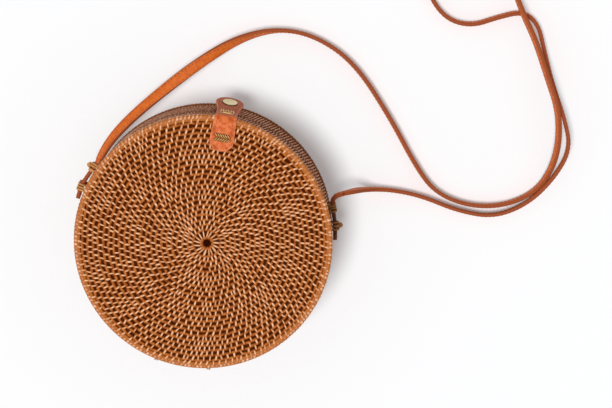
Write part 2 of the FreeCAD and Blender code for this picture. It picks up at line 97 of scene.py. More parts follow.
class Slot(Enum):
    """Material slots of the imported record."""

    WEAVE = "woven_cane"
    CANE = "split_cane"
    LEATHER = "tan_leather"
    BRASS = "pale_brass"
    COTTON = "lining_cotton"


# Node graphs


class Graph:
    """A node tree with short calls that add nodes and join them."""

    def __init__(self, tree: NodeTree) -> None:
        """Wraps a node tree.

        Args:
            tree: The tree that the nodes go into.
        """
        self.tree = tree

    def feed(self, node: Node, inputs: dict) -> None:
        """Links outputs to a node's inputs, or sets the inputs' own values.

        Args:
            node: The node.
            inputs: Output sockets or plain values, by input name or number.
        """
        for name, value in inputs.items():
            if isinstance(value, NodeSocket):
                self.tree.links.new(value, node.inputs[name])
            else:
                node.inputs[name].default_value = value

    def node(self, kind: str, inputs: dict | None = None, **settings: object) -> Node:
        """Adds a node.

        Args:
            kind: The node's type name.
            inputs: Values or outputs for its inputs, by input name or number.
            settings: Properties of the node.

        Returns:
            The new node.
        """
        made = self.tree.nodes.new(kind)
        for name, value in settings.items():
            setattr(made, name, value)
        self.feed(made, inputs or {})
        return made

    def math(self, operation: str, *values: object) -> NodeSocket:
        """Adds a math node and returns its result."""
        return self.node("ShaderNodeMath", dict(enumerate(values)), operation=operation).outputs[0]

    def times(self, first: object, second: object) -> NodeSocket:
        """Multiplies two values."""
        return self.math("MULTIPLY", first, second)

    def rest(self, share: object) -> NodeSocket:
        """What a share leaves of one."""
        return self.math("SUBTRACT", 1.0, share)

    def combine(self, *values: object) -> NodeSocket:
        """Joins three values into a vector."""
        return self.node("ShaderNodeCombineXYZ", dict(enumerate(values))).outputs[0]

    def between(self, value: object, low: float, high: float) -> NodeSocket:
        """Eases a value from 0 at low to 1 at high."""
        inputs = {"Value": value, "From Min": low, "From Max": high}
        return self.node("ShaderNodeMapRange", inputs, interpolation_type="SMOOTHSTEP").outputs[0]

    def mix(self, share: object, first: object, second: object) -> NodeSocket:
        """Mixes two colours."""
        first, second = ((*c, 1.0) if isinstance(c, tuple) else c for c in (first, second))
        return self.node("ShaderNodeMix", {0: share, 6: first, 7: second}, data_type="RGBA").outputs[2]

    def attribute(self, name: str, output: str = "Fac") -> NodeSocket:
        """Reads one of a piece's own mesh attributes."""
        return self.node("ShaderNodeAttribute", attribute_name=name).outputs[output]

    def noise(self, vector: object, scale: float, detail: float) -> NodeSocket:
        """Adds a noise texture and returns its value."""
        inputs = {"Vector": vector, "Scale": scale, "Detail": detail}
        return self.node("ShaderNodeTexNoise", inputs).outputs["Fac"]

    def bump(self, height: object, strength: float, depth: float) -> NodeSocket:
        """Turns a height into a normal; the depth is in millimetres."""
        inputs = {"Strength": strength, "Distance": depth * MM, "Height": height}
        return self.node("ShaderNodeBump", inputs).outputs[0]


def new_group(name: str, inputs: Sequence[tuple], outputs: Sequence[str], kind: str) -> Graph:
    """Starts a node group with named sockets.

    Args:
        name: The group's name.
        inputs: Pairs of input name and socket type.
        outputs: Output names; shader groups put out floats, geometry groups put out geometry.
        kind: The tree's type name.

    Returns:
        The empty group as a graph.
    """
    tree = bpy.data.node_groups.new(name, kind)
    for label, socket in inputs:
        tree.interface.new_socket(label, in_out="INPUT", socket_type=socket)
    out_type = "NodeSocketGeometry" if kind == "GeometryNodeTree" else "NodeSocketFloat"
    for label in outputs:
        tree.interface.new_socket(label, in_out="OUTPUT", socket_type=out_type)
    return Graph(tree)


def new_material(name: str) -> tuple[Material, Graph, Node]:
    """Starts a node material.

    Args:
        name: The material's name.

    Returns:
        The material, its graph and its Principled BSDF.
    """
    made = bpy.data.materials.new(name)
    made.use_nodes = True
    return made, Graph(made.node_tree), made.node_tree.nodes["Principled BSDF"]


# Finishes


class SharedEffects:
    """Shader node groups that several finishes place with their own values."""

    SHIFTS = (37.0, 17.0, 71.0)  # what one tone adds to the fibre coordinates, so that strands differ
    STREAK, BLOTCH = (2.6, 3.0), (0.45, 1.0)  # scale and detail of each noise
    CLOUD, SPECK, FINE = (22.0, 3.0), (85.0, 2.0), (260.0, 3.0)
    PORES = 130.0
    FINE_SHARE = 0.6

    def __init__(self) -> None:
        """Builds each group once."""
        self.fibre = self._fibre()
        self.grain = self._grain()

    def _fibre(self) -> NodeTree:
        """Streaks that run along a strand of vine or cane."""
        sockets = (("Fibre", "NodeSocketVector"), ("Tone", "NodeSocketFloat"))
        graph = new_group("cane_fibre", sockets, ("Streak", "Blotch"), "ShaderNodeTree")
        source = graph.node("NodeGroupInput").outputs
        shift = graph.combine(*(graph.times(source["Tone"], step) for step in self.SHIFTS))
        moved = graph.node("ShaderNodeVectorMath", {0: source["Fibre"], 1: shift}).outputs[0]
        noises = {"Streak": graph.noise(moved, *self.STREAK), "Blotch": graph.noise(moved, *self.BLOTCH)}
        graph.node("NodeGroupOutput", noises)
        return graph.tree

    def _grain(self) -> NodeTree:
        """Pores, creases and cloudy colour of leather."""
        sockets = (("Coordinates", "NodeSocketVector"),)
        graph = new_group("leather_grain", sockets, ("Cloud", "Speck", "Height"), "ShaderNodeTree")
        place = graph.node("NodeGroupInput").outputs[0]
        cells = graph.node("ShaderNodeTexVoronoi", {"Vector": place, "Scale": self.PORES}).outputs["Distance"]
        fine = graph.times(graph.noise(place, *self.FINE), self.FINE_SHARE)
        noises = {"Cloud": graph.noise(place, *self.CLOUD), "Speck": graph.noise(place, *self.SPECK)}
        graph.node("NodeGroupOutput", noises | {"Height": graph.math("ADD", cells, fine)})
        return graph.tree


@dataclass(frozen=True)
class Finish:
    """A material, by its name."""

    name: str

    def material(self, effects: SharedEffects) -> Material:
        """Builds the material.

        Args:
            effects: The shared node groups.

        Returns:
            The material.
        """
        made, graph, shader = new_material(self.name)
        graph.feed(shader, self.looks(graph, effects))
        return made

    def looks(self, graph: Graph, effects: SharedEffects) -> dict:
        """Values and outputs for the inputs of the Principled BSDF."""
        raise NotImplementedError


@dataclass(frozen=True)
class CaneFinish(Finish):
    """Vine or cane whose colour follows how far each strand stands out.

    The mesh carries lift (0 for painted shade in the folds, 1 for a painted highlight on the crest), tone (one value
    for each strand) and fibre (coordinates that run along the strand).
    """

    FOLDS, CRESTS = (0.0, 0.55), (0.45, 1.0)  # lifts between which the painted-shade deep colour gives way to body, and the painted-highlight crest colour comes in
    STREAKS, BLOTCHES = (0.35, 0.65), (0.55, 0.75)
    BLOTCH_STRENGTH = 0.35
    DULLING = 0.22  # roughness that dark fibres add
    BUMP_DEPTH = 0.15

    # deep is painted shade for the folds and crest a painted highlight for the tops; body is the cane's own colour
    deep: Colour
    body: Colour
    crest: Colour
    roughness: float = 0.42
    specular: float = 0.4
    palest: float = -0.9
    streaks: float = 0.5
    bump: float = 0.35

    def looks(self, graph: Graph, effects: SharedEffects) -> dict:
        """Colours by lift, painted shade in the folds and a painted highlight on the crest, with darker fibres and
        blotches.
        """
        lift, tone = graph.attribute("lift"), graph.attribute("tone")
        inputs = {"Fibre": graph.attribute("fibre", "Vector"), "Tone": tone}
        fibre = graph.node("ShaderNodeGroup", inputs, node_tree=effects.fibre).outputs
        dark = graph.rest(graph.between(fibre["Streak"], *self.STREAKS))
        rubbed = graph.times(graph.between(lift, *self.CRESTS), graph.between(tone, self.palest, 1.0))
        # Painted shade in the folds, then the painted highlight on the crest
        colour = graph.mix(graph.between(lift, *self.FOLDS), self.deep, self.body)
        colour = graph.mix(rubbed, colour, self.crest)
        blotch = graph.times(graph.between(fibre["Blotch"], *self.BLOTCHES), self.BLOTCH_STRENGTH)
        stained = graph.math("MAXIMUM", graph.times(dark, self.streaks), blotch)
        stain = tuple((d + b) / 2 for d, b in zip(self.deep, self.body))
        return {
            "Base Color": graph.mix(stained, colour, stain),
            "Roughness": graph.math("MULTIPLY_ADD", dark, self.DULLING, self.roughness),
            "Specular IOR Level": self.specular,
            "Normal": graph.bump(fibre["Streak"], self.bump, self.BUMP_DEPTH),
        }


@dataclass(frozen=True)
class LeatherFinish(Finish):
    """Tan leather with a dark cut edge and a pressed line beside it.

    The mesh carries border, the distance in millimetres from the cut edge, and a UV map in which one unit is a tenth
    of a metre. From a stretch of its length on, the leather changes to another colour as painted light: painted shade
    and sheen on the clasp's wall and flap, and the lit strap colours again where the shaded tail leaves the bag's
    shadow.
    """

    CLOUDS, SPECKS, PRICKS = (0.38, 0.66), (0.56, 0.7), (0.2, 0.8)
    SPECK_STRENGTH = 0.45
    LINE_FADE, CUT = (0.1, 0.55), (0.05, 0.45)  # millimetres off the line and off the cut edge
    LINE_SINK = -1.5
    DULLING = 0.2
    BUMP = (0.35, 0.12)  # strength and depth

    face: Colour
    cloud: Colour
    edge: Colour
    line: Colour
    line_at: float
    line_strength: float
    prick_strength: float = 0.0
    prick_pitch: float = 3.1
    worn: Colour = (0.0, 0.0, 0.0)
    worn_strength: float = 0.0
    worn_edge: Colour | None = None
    worn_from: tuple[float, float] = (26.0, 31.0)
    roughness: float = 0.5
    specular: float = 0.22

    def looks(self, graph: Graph, effects: SharedEffects) -> dict:
        """Cloudy leather with its pressed line, pricks, painted-light stretch and cut edge."""
        place = graph.node("ShaderNodeUVMap", uv_map="UVMap").outputs[0]
        along = graph.node("ShaderNodeSeparateXYZ", {0: place}).outputs[1]
        border = graph.attribute("border")
        grain = graph.node("ShaderNodeGroup", {0: place}, node_tree=effects.grain).outputs
        colour = graph.mix(graph.between(grain["Cloud"], *self.CLOUDS), self.face, self.cloud)
        # Share of the painted light change, which comes in over a stretch of the length
        bent = graph.between(along, *(mm / UV_UNIT for mm in self.worn_from))
        colour = graph.mix(graph.times(bent, self.worn_strength), colour, self.worn)
        speck = graph.times(graph.between(grain["Speck"], *self.SPECKS), self.SPECK_STRENGTH)
        colour = graph.mix(speck, colour, self.line)
        off_line = graph.math("ABSOLUTE", graph.math("SUBTRACT", border, self.line_at))
        on_line = graph.rest(graph.between(off_line, *self.LINE_FADE))
        beat = graph.math("COSINE", graph.times(along, UV_UNIT * TAU / self.prick_pitch))
        pricks = graph.times(graph.between(beat, *self.PRICKS), self.prick_strength)
        marked = graph.times(on_line, graph.math("MAXIMUM", pricks, self.line_strength))
        colour = graph.mix(marked, colour, self.line)
        edge = graph.mix(bent, self.edge, self.worn_edge or self.edge)
        cut = graph.rest(graph.between(border, *self.CUT))
        height = graph.math("ADD", grain["Height"], graph.times(on_line, self.LINE_SINK))
        return {
            "Base Color": graph.mix(cut, colour, edge),
            "Roughness": graph.math("MULTIPLY_ADD", grain["Cloud"], self.DULLING, self.roughness),
            "Specular IOR Level": self.specular,
            "Normal": graph.bump(height, *self.BUMP),
        }


@dataclass(frozen=True)
class BrassFinish(Finish):
    """Pale plated brass with handling marks, with painted shade and a painted dark reflection where the mesh's rim
    attribute rises.
    """

    MARK_SIZE = (900.0, 4.0)  # scale and detail
    MARKS, TARNISH = (0.45, 0.75), (0.0, 0.7)
    DULLING = 0.25
    BUMP = (0.1, 0.05)  # strength and depth

    base: Colour
    dull: Colour
    # rim is the painted shade and dark painted reflection at the stud's edge
    rim: Colour
    roughness: float

    def looks(self, graph: Graph, effects: SharedEffects) -> dict:
        """Bright brass with duller marks and a painted dark rim."""
        marks = graph.noise(graph.node("ShaderNodeTexCoord").outputs["Object"], *self.MARK_SIZE)
        colour = graph.mix(graph.between(marks, *self.MARKS), self.base, self.dull)
        tarnish = graph.between(graph.attribute("rim"), *self.TARNISH)
        return {
            "Base Color": graph.mix(tarnish, colour, self.rim),
            "Metallic": 1.0,
            "Roughness": graph.math("MULTIPLY_ADD", marks, self.DULLING, self.roughness),
            "Normal": graph.bump(marks, *self.BUMP),
        }


@dataclass(frozen=True)
class CottonFinish(Finish):
    """Plain woven cotton, with warp and weft on the piece's UV map in tenths of a metre."""

    CLOUD_SIZE = (9.0, 3.0)  # scale and detail
    CLOUDS = (0.35, 0.7)
    CLOUD_STRENGTH = 0.3
    DISTORTION = 0.6
    BUMP = (0.4, 0.15)  # strength and depth

    thread: Colour
    gap: Colour
    threads: float
    roughness: float = 0.9
    sheen: float = 0.2

    def looks(self, graph: Graph, effects: SharedEffects) -> dict:
        """Threads over and under, with a cloudy tone."""
        place = graph.node("ShaderNodeUVMap", uv_map="UVMap").outputs[0]
        inputs = {"Vector": place, "Scale": self.threads, "Distortion": self.DISTORTION}
        waves = [graph.node("ShaderNodeTexWave", inputs, bands_direction=d).outputs["Fac"] for d in "XY"]
        weave = graph.math("MAXIMUM", *waves)
        cloud = graph.between(graph.noise(place, *self.CLOUD_SIZE), *self.CLOUDS)
        colour = graph.mix(weave, self.gap, self.thread)
        return {
            "Base Color": graph.mix(graph.times(cloud, self.CLOUD_STRENGTH), colour, self.gap),
            "Roughness": self.roughness,
            "Sheen Weight": self.sheen,
            "Normal": graph.bump(weave, *self.BUMP),
        }


CANES = (
    CaneFinish("vine_stitch", (0.11, 0.02, 0.0014), (0.56, 0.165, 0.024), (1.0, 0.59, 0.33), 0.38, 0.3),
    CaneFinish("vine_side", (0.1, 0.026, 0.006), (0.54, 0.18, 0.052), (1.0, 0.62, 0.4), 0.38, 0.3, 0.1),
    # A darker copy of the vine: painted shade for the wall's rings, the back corner coil and the rim bindings
    CaneFinish("vine_shade", (0.06, 0.014, 0.003), (0.27, 0.085, 0.022), (0.42, 0.16, 0.05), specular=0.08),
    CaneFinish("vine_ring", (0.1, 0.017, 0.001), (0.43, 0.11, 0.013), (0.68, 0.24, 0.045), specular=0.12),
    # The core's own dark colour, darkened further as painted shade in the gaps between the rings
    CaneFinish("vine_core", (0.016, 0.0022, 0.0002), (0.1, 0.016, 0.001), (0.17, 0.034, 0.003), 0.7, 0.02),
    CaneFinish("split_cane", (0.13, 0.045, 0.008), (0.76, 0.4, 0.1), (1.0, 0.72, 0.3), 0.38),
    CaneFinish("knot_cane", (0.09, 0.026, 0.005), (0.47, 0.18, 0.042), (0.76, 0.39, 0.13), 0.4, 0.25),
    # A darker copy of the knot cane: painted shade for the knots in the bag's shadow
    CaneFinish("smoked_cane", (0.05, 0.014, 0.003), (0.24, 0.085, 0.02), (0.5, 0.23, 0.07), 0.4, 0.2),
    CaneFinish("tie_cane", (0.12, 0.03, 0.006), (0.48, 0.15, 0.045), (0.8, 0.36, 0.15), specular=0.15),
    CaneFinish("strap_thread", (0.1, 0.03, 0.01), (0.2, 0.07, 0.025), (0.3, 0.11, 0.04), 0.7),
)

LEATHERS = (
    LeatherFinish(
        "strap_leather", (0.72, 0.155, 0.018), (0.6, 0.115, 0.012), (0.3, 0.062, 0.014),
        (0.34, 0.06, 0.01), line_at=1.7, line_strength=0.25,
    ),
    # The right tail near the wall is the strap leather painted in the bag's shade: darker face, cloud and edge,
    # turning back to the strap's lit colours from 22 to 39 mm along
    LeatherFinish(
        "tail_leather", (0.5, 0.12, 0.02), (0.36, 0.08, 0.012), (0.12, 0.034, 0.012),
        (0.2, 0.04, 0.008), line_at=1.7, line_strength=0.25,
        worn=(0.66, 0.145, 0.018), worn_strength=1.0, worn_edge=(0.3, 0.062, 0.014), worn_from=(22.0, 39.0),
    ),
    # The clasp's light cut edge is a painted highlight where its edges catch the light; past the bend its colour
    # turns to painted shade and sheen on the wall and flap
    LeatherFinish(
        "clasp_leather", (0.74, 0.18, 0.048), (0.5, 0.075, 0.006), (0.7, 0.24, 0.14),
        (0.26, 0.04, 0.006), line_at=2.4, line_strength=0.12, prick_strength=0.75,
        worn=(0.42, 0.125, 0.066), worn_strength=0.8,
    ),
)

BRASS = BrassFinish("press_stud_brass", (0.96, 0.88, 0.52), (0.7, 0.58, 0.32), (0.1, 0.055, 0.025), 0.2)
COTTON = CottonFinish("lining_cotton", (0.58, 0.44, 0.29), (0.36, 0.25, 0.15), 320.0)


class Finishes:
    """Every material of the bag."""

    def __init__(self) -> None:
        """Builds the shared groups and the materials."""
        effects = SharedEffects()
        canes = [finish.material(effects) for finish in CANES]
        self.stitch, self.side, self.shade, self.ring, self.core = canes[:5]
        self.cane, self.knot, self.smoked, self.tie, self.thread = canes[5:]
        self.strap, self.tail, self.tongue = (finish.material(effects) for finish in LEATHERS)
        self.brass = BRASS.material(effects)
        self.cotton = COTTON.material(effects)


# Meshes


def new_object(name: str, data: ID) -> Object:
    """Adds an object with its data to the scene."""
    made = bpy.data.objects.new(name, data)
    bpy.context.scene.collection.objects.link(made)
    return made


def add_values(mesh: Mesh, name: str, kind: str, values: Sequence) -> None:
    """Stores a value, a vector or a turn for each point of a mesh.

    Args:
        mesh: The mesh.
        name: The attribute's name.
        kind: Its data type.
        values: One entry for each point.
    """
    key = "vector" if kind == "FLOAT_VECTOR" else "value"
    spread = np.asarray(values, np.float32).ravel()
    mesh.attributes.new(name, kind, "POINT").data.foreach_set(key, spread)


def smooth(mesh: Mesh) -> None:
    """Shades every face of a mesh smooth."""
    mesh.polygons.foreach_set("use_smooth", np.ones(len(mesh.polygons), bool))


def new_piece(
    name: str,
    points: np.ndarray,
    faces: Faces,
    *materials: Material,
    bands: Sequence[int] | None = None,
    floats: dict[str, Sequence[float]] | None = None,
    fibre: np.ndarray | None = None,
    uv: Sequence | None = None,
    closed: bool = True,
) -> Object:
    """Makes a smooth-shaded mesh object at the origin.

    Args:
        name: The object's name.
        points: Vertices in millimetres.
        faces: Vertex numbers of each face.
        materials: The material slots.
        bands: The material number of each face.
        floats: Values for each vertex, by attribute name.
        fibre: Fibre coordinates for each vertex.
        uv: UV coordinates for each vertex.
        closed: Whether doubles are merged and the faces turned outwards.

    Returns:
        The new object.
    """
    mesh = bpy.data.meshes.new(name)
    mesh.from_pydata((np.asarray(points) * MM).tolist(), [], faces)
    for material in materials:
        mesh.materials.append(material)
    if bands is not None:
        mesh.polygons.foreach_set("material_index", np.asarray(bands, np.int32))
    for label, values in (floats or {}).items():
        add_values(mesh, label, "FLOAT", values)
    if fibre is not None:
        add_values(mesh, "fibre", "FLOAT_VECTOR", fibre)
    if uv is not None:
        corners = np.empty(len(mesh.loops), np.int32)
        mesh.loops.foreach_get("vertex_index", corners)
        layer = mesh.uv_layers.new(name="UVMap")
        layer.data.foreach_set("uv", np.asarray(uv, np.float32)[corners].ravel())
    if closed:
        close_mesh(mesh)
    smooth(mesh)
    return new_object(name, mesh)


def close_mesh(mesh: Mesh) -> None:
    """Merges doubles and turns the faces of a closed mesh outwards.

    Args:
        mesh: The mesh to close.
    """
    work = bmesh.new()
    work.from_mesh(mesh)
    bmesh.ops.remove_doubles(work, verts=work.verts, dist=1e-6)
    bmesh.ops.recalc_face_normals(work, faces=work.faces)
    work.to_mesh(mesh)
    work.free()


def baked(source: Object, name: str) -> Object:
    """Turns an object with modifiers into a plain mesh object and removes the source.

    Args:
        source: The object with its modifiers.
        name: The plain object's name.

    Returns:
        The plain object.
    """
    graph = bpy.context.evaluated_depsgraph_get()
    mesh = bpy.data.meshes.new_from_object(source.evaluated_get(graph), depsgraph=graph)
    bpy.data.objects.remove(source)
    mesh.name = name
    return new_object(name, mesh)


def grid_faces(rows: int, columns: int, wrap_rows: bool = False, wrap_columns: bool = False) -> Faces:
    """Quads of a grid whose vertices run along each row.

    Args:
        rows: The number of rows of vertices.
        columns: The number of vertices in a row.
        wrap_rows: Whether the last row joins the first.
        wrap_columns: Whether the last column joins the first.

    Returns:
        The vertex numbers of each quad.
    """
    faces = []
    for row in range(rows if wrap_rows else rows - 1):
        near, far = row * columns, (row + 1) % rows * columns
        for c in range(columns if wrap_columns else columns - 1):
            d = (c + 1) % columns
            faces.append((near + c, near + d, far + d, far + c))
    return faces


def end_faces(rows: int, columns: int) -> Faces:
    """The two faces that close the ends of a grid with joined columns."""
    last = (rows - 1) * columns
    return [tuple(range(columns)), tuple(last + c for c in reversed(range(columns)))]


def unit(vectors: np.ndarray) -> np.ndarray:
    """A vector, or each row of vectors, at length one."""
    return vectors / np.linalg.norm(vectors, axis=-1, keepdims=True)


def full_turn(steps: int) -> np.ndarray:
    """Even angles round a full turn."""
    return np.arange(steps) * TAU / steps


def level(angle: float) -> np.ndarray:
    """The level direction at an angle about the bag's axis."""
    return np.array((math.cos(angle), math.sin(angle), 0.0))


def revolved(radius: np.ndarray, height: np.ndarray, segments: int) -> np.ndarray:
    """Turns a section about the bag's axis.

    Args:
        radius: The section's radii, or a row of them for each angle.
        height: Its heights, likewise.
        segments: The number of angles.

    Returns:
        A row of points for each angle.
    """
    around = full_turn(segments)[:, None]
    x = radius * np.cos(around)
    return np.stack((x, radius * np.sin(around), np.broadcast_to(height, x.shape)), axis=-1)


def turned(turn: Matrix, points: np.ndarray) -> np.ndarray:
    """Points moved by a matrix."""
    matrix = np.array(turn)
    return points @ matrix[:3, :3].T + matrix[:3, 3]


def run_length(path: np.ndarray) -> np.ndarray:
    """The distance along a path at each of its points."""
    return np.concatenate(([0.0], np.cumsum(np.linalg.norm(np.diff(path, axis=0), axis=1))))


def on_body(piece: Object, body: str, slot: Slot, *nodes: str) -> None:
    """Rides a piece on a body and hides the CAD nodes that it stands for.

    Args:
        piece: The finished piece.
        body: The frame body that carries it.
        slot: The record's slot; not used.
        nodes: The CAD nodes that it replaces.
    """
    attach(piece, body)
    if nodes:
        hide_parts(*nodes)
    LOG.info("%s: %d faces on %s", piece.name, len(piece.data.polygons), body)


# Strands planted on seats


@dataclass(frozen=True)
class Strand:
    """One bent strand before it is planted; the fields are inputs of the Geometry Nodes tree."""

    length: float
    width: float
    thickness: float
    bend: float
    sides: int = 8
    rings: int = 7
    flare: float = 1.0


@dataclass
class Seat:
    """Where one strand lies: its middle, its direction, the way its crest points and its sizes."""

    place: np.ndarray
    along: np.ndarray
    normal: np.ndarray
    stretch: tuple[float, float, float]
    tone: float

    def turn(self) -> tuple[float, ...]:
        """The rotation from the strand's own axes, as a quaternion."""
        normal = unit(self.normal)
        side = unit(np.cross(normal, self.along))
        along = np.cross(side, normal)
        return tuple(Matrix(np.column_stack((along, side, normal)).tolist()).to_quaternion())

    def moved(self, turn: Matrix) -> "Seat":
        """The seat moved by a matrix."""
        spin = np.array(turn)[:3, :3]
        return replace(self, place=turned(turn, self.place), along=spin @ self.along, normal=spin @ self.normal)


class StrandPlanter:
    """Geometry Nodes that plant a bent strand on every seat."""

    INPUTS = (
        ("Seats", "NodeSocketGeometry"),
        *((name, "NodeSocketFloat") for name in ("Length", "Width", "Thickness", "Bend", "Flare")),
        *((name, "NodeSocketInt") for name in ("Sides", "Rings")),
        ("Finish", "NodeSocketMaterial"),
    )
    ALONG_FIBRE, CROSS_FIBRE = 0.35, 1.3  # the fibre runs slowly along a strand and fast across it
    CREST, MIDDLE = 0.55, 0.5  # lift gained towards the crest, where it paints a highlight, and lift at mid height
    END_POWER = 3.0  # how late along a strand its lift falls to painted shade at its ends

    def __init__(self) -> None:
        """Builds the tree."""
        graph = new_group("strands_on_seats", self.INPUTS, ("Strands",), "GeometryNodeTree")
        self.tree = graph.tree
        source = graph.node("NodeGroupInput").outputs
        ball = graph.node("GeometryNodeMeshUVSphere", {"Segments": source["Sides"], "Rings": source["Rings"]})
        place = graph.node("GeometryNodeInputPosition").outputs[0]
        side, crown, along = graph.node("ShaderNodeSeparateXYZ", {0: place}).outputs
        steps = ((along, self.ALONG_FIBRE), (side, self.CROSS_FIBRE), (crown, self.CROSS_FIBRE))
        fibre = graph.combine(*(graph.times(axis, step) for axis, step in steps))
        # The lift paints a highlight on each strand's crest and shade at its ends and underside
        ends = graph.math("POWER", graph.math("ABSOLUTE", along), self.END_POWER)
        lift = graph.times(graph.math("MULTIPLY_ADD", crown, self.CREST, self.MIDDLE), graph.rest(ends))
        shape = self._store(graph, ball.outputs["Mesh"], "fibre", "FLOAT_VECTOR", fibre)
        shape = self._store(graph, shape, "lift", "FLOAT", lift)
        bent = self._bent(graph, source, along, side, crown)
        shape = graph.node("GeometryNodeSetPosition", {"Geometry": shape, "Position": bent}).outputs[0]
        turn, size = (
            graph.node("GeometryNodeInputNamedAttribute", {"Name": name}, data_type=kind).outputs["Attribute"]
            for name, kind in (("seat_turn", "QUATERNION"), ("seat_size", "FLOAT_VECTOR"))
        )
        inputs = {"Points": source["Seats"], "Instance": shape, "Rotation": turn, "Scale": size}
        made = graph.node("GeometryNodeInstanceOnPoints", inputs)
        for kind in ("GeometryNodeRealizeInstances", "GeometryNodeSetShadeSmooth", "GeometryNodeSetMaterial"):
            made = graph.node(kind, {"Geometry": made.outputs[0]})
        graph.feed(made, {"Material": source["Finish"]})
        graph.node("NodeGroupOutput", {"Strands": made.outputs[0]})

    @staticmethod
    def _store(graph: Graph, shape: NodeSocket, name: str, kind: str, value: NodeSocket) -> NodeSocket:
        """Stores a named attribute on the strand's points."""
        inputs = {"Geometry": shape, "Name": name, "Value": value}
        made = graph.node("GeometryNodeStoreNamedAttribute", inputs, data_type=kind, domain="POINT")
        return made.outputs[0]

    @staticmethod
    def _bent(graph: Graph, source: object, along: object, side: object, crown: object) -> NodeSocket:
        """Places of the strand's points, with full ends and a bend about its side axis."""
        half_length, half_width, half_thick = (
            graph.times(source[size], 0.5) for size in ("Length", "Width", "Thickness")
        )
        squared = graph.times(along, along)
        full = graph.math("SQRT", graph.math("ADD", 1.0, squared))
        flared = graph.math("SQRT", graph.math("ADD", 1.0, graph.times(squared, source["Flare"])))
        across = graph.times(graph.times(side, flared), half_width)
        above = graph.times(graph.times(crown, full), half_thick)
        radius = graph.math("DIVIDE", half_length, source["Bend"])
        reach = graph.math("ADD", radius, above)
        angle = graph.times(along, source["Bend"])
        forward = graph.times(reach, graph.math("SINE", angle))
        height = graph.math("SUBTRACT", graph.times(reach, graph.math("COSINE", angle)), radius)
        return graph.combine(forward, across, height)

    def plant(
        self, name: str, seats: Sequence[Seat], strand: Strand, material: Material, body: str, slot: Slot, *nodes: str
    ) -> None:
        """Plants strands as one plain mesh that rides a body.

        Args:
            name: The piece's name.
            seats: Where the strands lie.
            strand: The strand's own shape.
            material: Its material.
            body: The frame body that carries the piece.
            slot: The record's slot.
            nodes: The CAD nodes that the piece replaces.
        """
        mesh = bpy.data.meshes.new(name + "_seats")
        mesh.from_pydata([tuple(s.place * MM) for s in seats], [], [])
        add_values(mesh, "seat_turn", "QUATERNION", [s.turn() for s in seats])
        add_values(mesh, "seat_size", "FLOAT_VECTOR", [s.stretch for s in seats])
        add_values(mesh, "tone", "FLOAT", [s.tone for s in seats])
        holder = new_object(name + "_seats", mesh)
        modifier = holder.modifiers.new("strands", "NODES")
        modifier.node_group = self.tree
        values = {name.title(): value for name, value in vars(strand).items()} | {"Finish": material}
        for size in ("Length", "Width", "Thickness"):
            values[size] *= MM
        for item in self.tree.interface.items_tree:
            if item.in_out == "INPUT" and item.name in values:
                modifier[item.identifier] = values[item.name]
        made = baked(holder, name)
        for label in ("seat_turn", "seat_size"):
            made.data.attributes.remove(made.data.attributes[label])
        on_body(made, body, slot, *nodes)


# The weave


@dataclass
class ProfilePoint:
    """A point of a woven face's section: its place across the rows, its height, lift and ring."""

    across: float
    height: float
    lift: float
    ring: int | None = None


